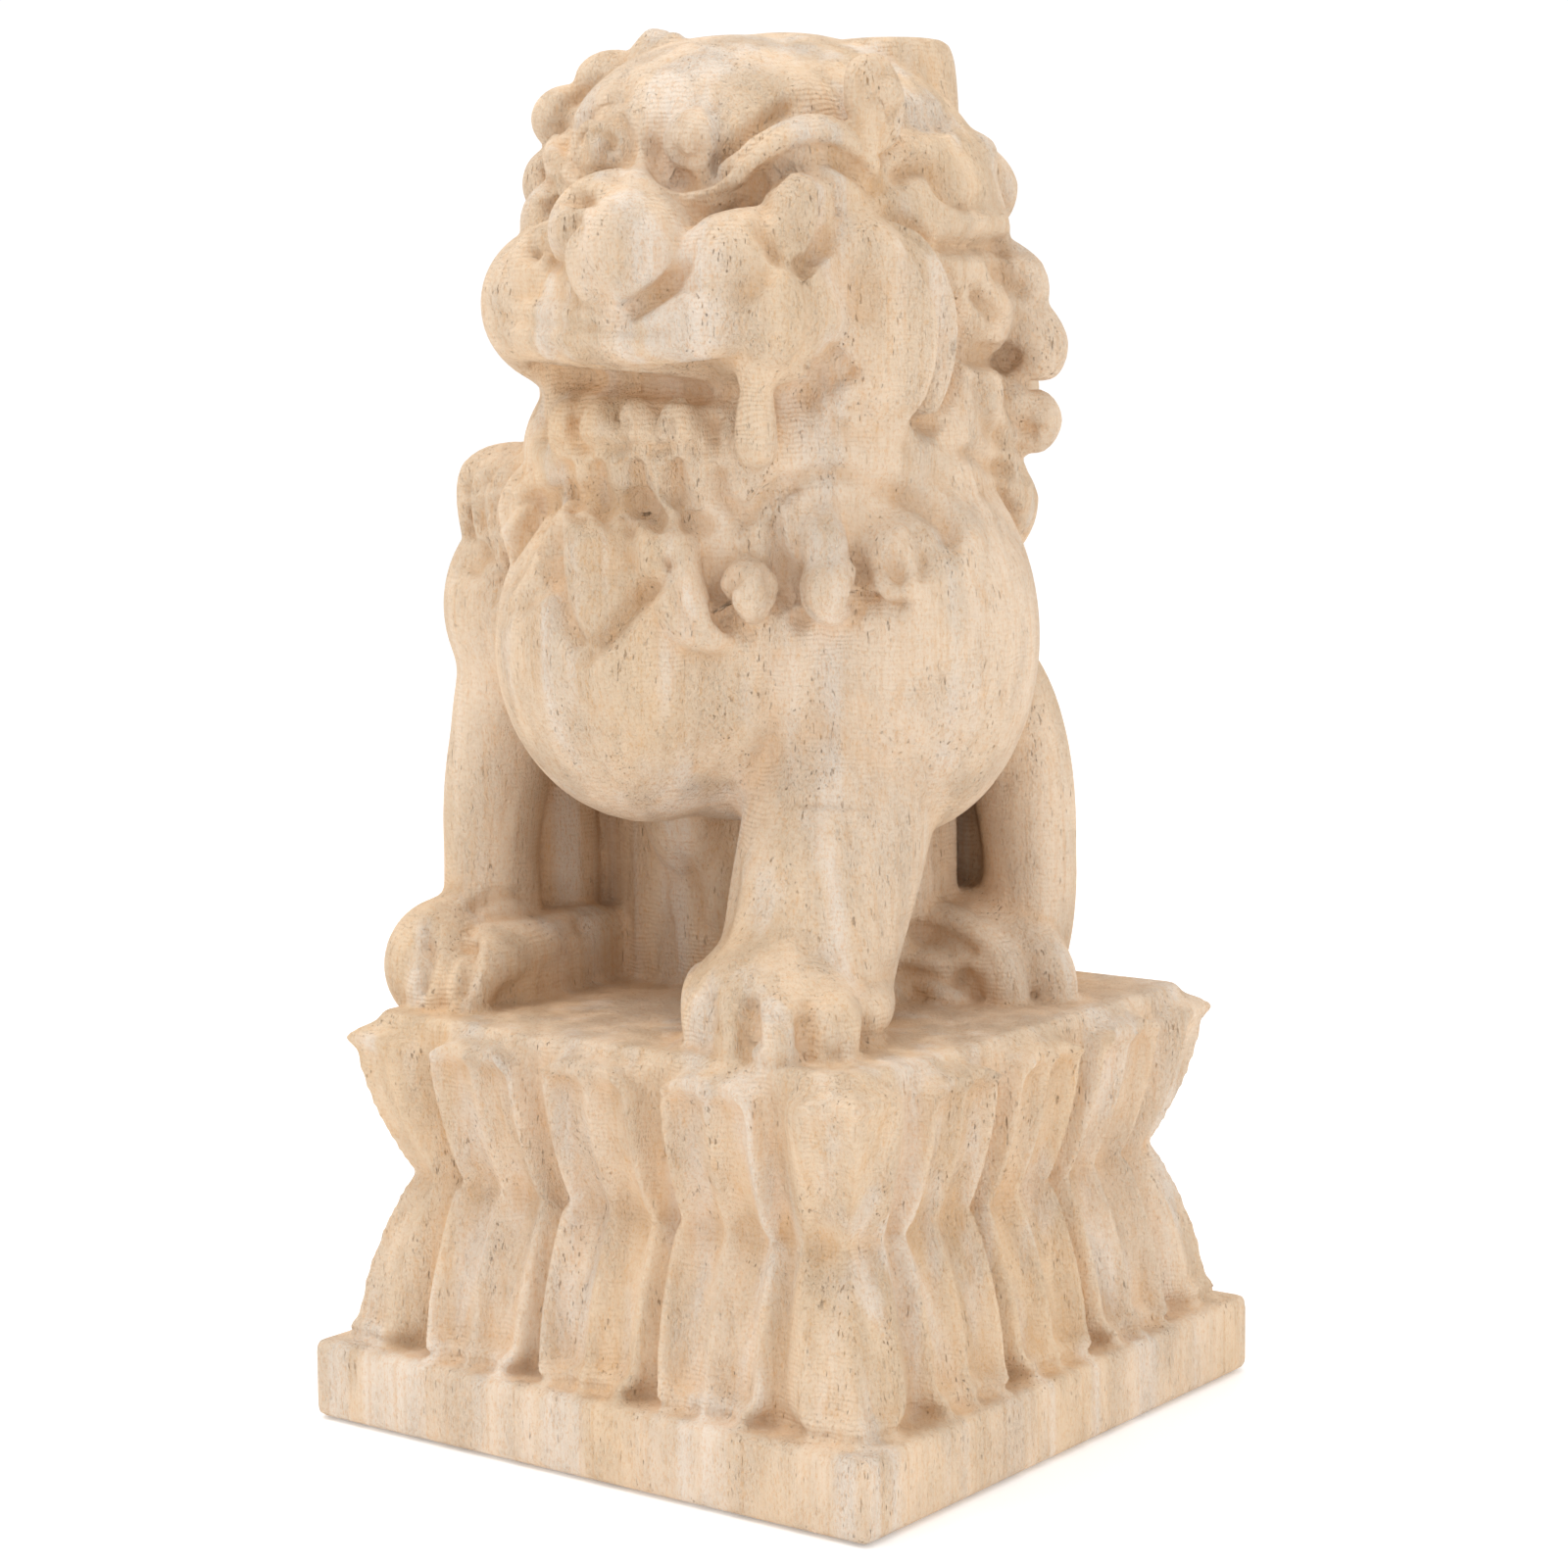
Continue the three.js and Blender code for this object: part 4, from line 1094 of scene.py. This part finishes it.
class LION_OT_plinth(bpy.types.Operator):
    """Models the slab and the two tiers of lotus petals."""

    bl_idname = "lion.plinth"
    bl_label = "Slab and lotus"

    def execute(self, context):
        clay = joined([lotus_core(), *lotus_petals()], "plinth clay")
        fused(clay, sizes().fine_step)
        softened(clay, 5)
        joined([clay, slab_clay()], "plinth clay")
        return {"FINISHED"}


class LION_OT_masses(bpy.types.Operator):
    """Models the big forms of the lion and softens them into one skin."""

    bl_idname = "lion.masses"
    bl_label = "Body, limbs and head"

    def execute(self, context):
        clay = joined([*trunk_clay(), *limb_clay(), *head_clay()], "lion clay")
        fused(clay, sizes().soft_step)
        softened(clay, 10)
        return {"FINISHED"}


class LION_OT_carving(bpy.types.Operator):
    """Adds paws, face, chest ornaments, mane and tail."""

    bl_idname = "lion.carving"
    bl_label = "Carved forms"

    def execute(self, context):
        forms = [*paw_clay(), *face_clay(), *chest_clay(), *mane_clay(), *tail_clay()]
        joined([bpy.data.objects["lion clay"], *forms], "lion clay")
        return {"FINISHED"}


class LION_OT_finish(bpy.types.Operator):
    """Fuses lion and plinth, cuts the gouge strokes and lays on the wood."""

    bl_idname = "lion.finish"
    bl_label = "Finish"

    def execute(self, context):
        size = sizes()
        piece = joined([bpy.data.objects["plinth clay"], bpy.data.objects["lion clay"]], PIECE)
        fused(piece, size.fine_step)
        softened(piece, 3)
        cut_strokes(piece)
        softened(piece, 1, 0.4)
        triangles = sum(len(face.vertices) - 2 for face in piece.data.polygons)
        if triangles > size.most_triangles:
            apply_modifier(piece, "DECIMATE", "Thin", ratio=size.most_triangles / triangles)
        points = points_of(piece)
        half = size.slab_width / 2
        points[:, :2] = np.clip(points[:, :2], -half, half)
        points[:, 2] = np.clip(points[:, 2], 0, CAD_BOX[1][2])
        set_points(piece, points)
        clear_selection()
        piece.select_set(True)
        bpy.context.view_layer.objects.active = piece
        bpy.ops.object.shade_smooth()
        mark_hollows(piece)
        piece.data.materials.clear()
        piece.data.materials.append(raw_softwood())
        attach(piece, "root")
        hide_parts(NODE)
        return {"FINISHED"}


ROOM_LIGHT = 0.87
BACKDROP_LIGHT = 1.05
FLOOR_GLOW = 0.2

# Each lamp: its place and its width in metres, and its power in watts
LAMPS = (
    ((-0.32, -0.24, 0.78), 0.3, 1.7),
    ((0.05, -0.05, 1.1), 0.7, 2.7),
    ((0.72, 0.36, 0.36), 0.5, 0.6),
)

CAMERA_ELEVATION = math.radians(6.65)
CAMERA_DISTANCE = 398.3 * MM
CAMERA_ROLL = math.radians(-0.605)
LENS = 77.9
FILM_WIDTH = 36
LOOKED_AT = 73.3 * MM
LAMPS_AIMED_AT = 80 * MM
FLOOR_SIZE = 4.0
FLOOR_LEVEL = -0.2 * MM


class LION_OT_stage(bpy.types.Operator):
    """Sets the pale floor, soft studio light and the camera at the photograph's angle."""

    bl_idname = "lion.stage"
    bl_label = "Stage"

    def execute(self, context):
        clear_selection()
        bpy.ops.mesh.primitive_plane_add(size=FLOOR_SIZE, location=(0, 0, FLOOR_LEVEL))
        floor = context.object
        floor.name = "floor"
        paper = bpy.data.materials.new("white paper")
        paper.use_nodes = True
        sheet = paper.node_tree.nodes["Principled BSDF"]
        sheet.inputs["Base Color"].default_value = (0.95, 0.95, 0.95, 1)
        sheet.inputs["Emission Color"].default_value = (1, 1, 1, 1)
        sheet.inputs["Emission Strength"].default_value = FLOOR_GLOW
        floor.data.materials.append(paper)
        world = bpy.data.worlds.new("white room")
        context.scene.world = world
        world.use_nodes = True
        room = world.node_tree
        room.nodes["Background"].inputs["Color"].default_value = (1, 1, 1, 1)
        seen = node(room, "ShaderNodeLightPath").outputs["Is Camera Ray"]
        glow = sums(room, "MULTIPLY", seen, BACKDROP_LIGHT - ROOM_LIGHT)
        strength = sums(room, "ADD", ROOM_LIGHT, glow)
        room.links.new(strength, room.nodes["Background"].inputs["Strength"])
        context.scene.view_settings.view_transform = "Standard"
        for at, width, power in LAMPS:
            bpy.ops.object.light_add(type="AREA", location=at)
            lamp = context.object
            lamp.data.size = width
            lamp.data.energy = power
            aim = Vector((0, 0, LAMPS_AIMED_AT)) - Vector(at)
            lamp.rotation_euler = aim.to_track_quat("-Z", "Y").to_euler()
        add_camera(context)
        return {"FINISHED"}


def add_camera(context):
    """A camera before the near corner, level with the lion's mouth."""
    target = Vector((0, 0, LOOKED_AT))
    back = Vector((
        math.sin(VIEWER_BEARING) * math.cos(CAMERA_ELEVATION),
        -math.cos(VIEWER_BEARING) * math.cos(CAMERA_ELEVATION),
        math.sin(CAMERA_ELEVATION),
    ))
    bpy.ops.object.camera_add(location=target + back * CAMERA_DISTANCE)
    camera = context.object
    turn = (-back).to_track_quat("-Z", "Y").to_matrix()
    roll = Euler((0, 0, CAMERA_ROLL)).to_matrix()
    camera.rotation_euler = (turn @ roll).to_euler()
    camera.data.sensor_width = FILM_WIDTH
    camera.data.lens = LENS
    camera.data.clip_start = 0.01
    context.scene.camera = camera


class LION_PT_panel(bpy.types.Panel):
    """Lists the steps of the statue."""

    bl_label = "Guardian lion"
    bl_space_type = "VIEW_3D"
    bl_region_type = "UI"
    bl_category = "Lion"

    def draw(self, context):
        for step in STEPS:
            self.layout.operator(step.bl_idname)


STEPS = (LION_OT_plinth, LION_OT_masses, LION_OT_carving, LION_OT_finish, LION_OT_stage)
CLASSES = (StatueSizes, WoodLook, *STEPS, LION_PT_panel)


def register():
    for kind in CLASSES:
        bpy.utils.register_class(kind)
    bpy.types.Scene.statue_sizes = bpy.props.PointerProperty(type=StatueSizes)
    bpy.types.Scene.wood_look = bpy.props.PointerProperty(type=WoodLook)


def unregister():
    del bpy.types.Scene.wood_look
    del bpy.types.Scene.statue_sizes
    for kind in reversed(CLASSES):
        bpy.utils.unregister_class(kind)


def main():
    register()
    bpy.ops.lion.plinth()
    bpy.ops.lion.masses()
    bpy.ops.lion.carving()
    bpy.ops.lion.finish()
    bpy.ops.lion.stage()


if __name__ == "__main__":
    main()
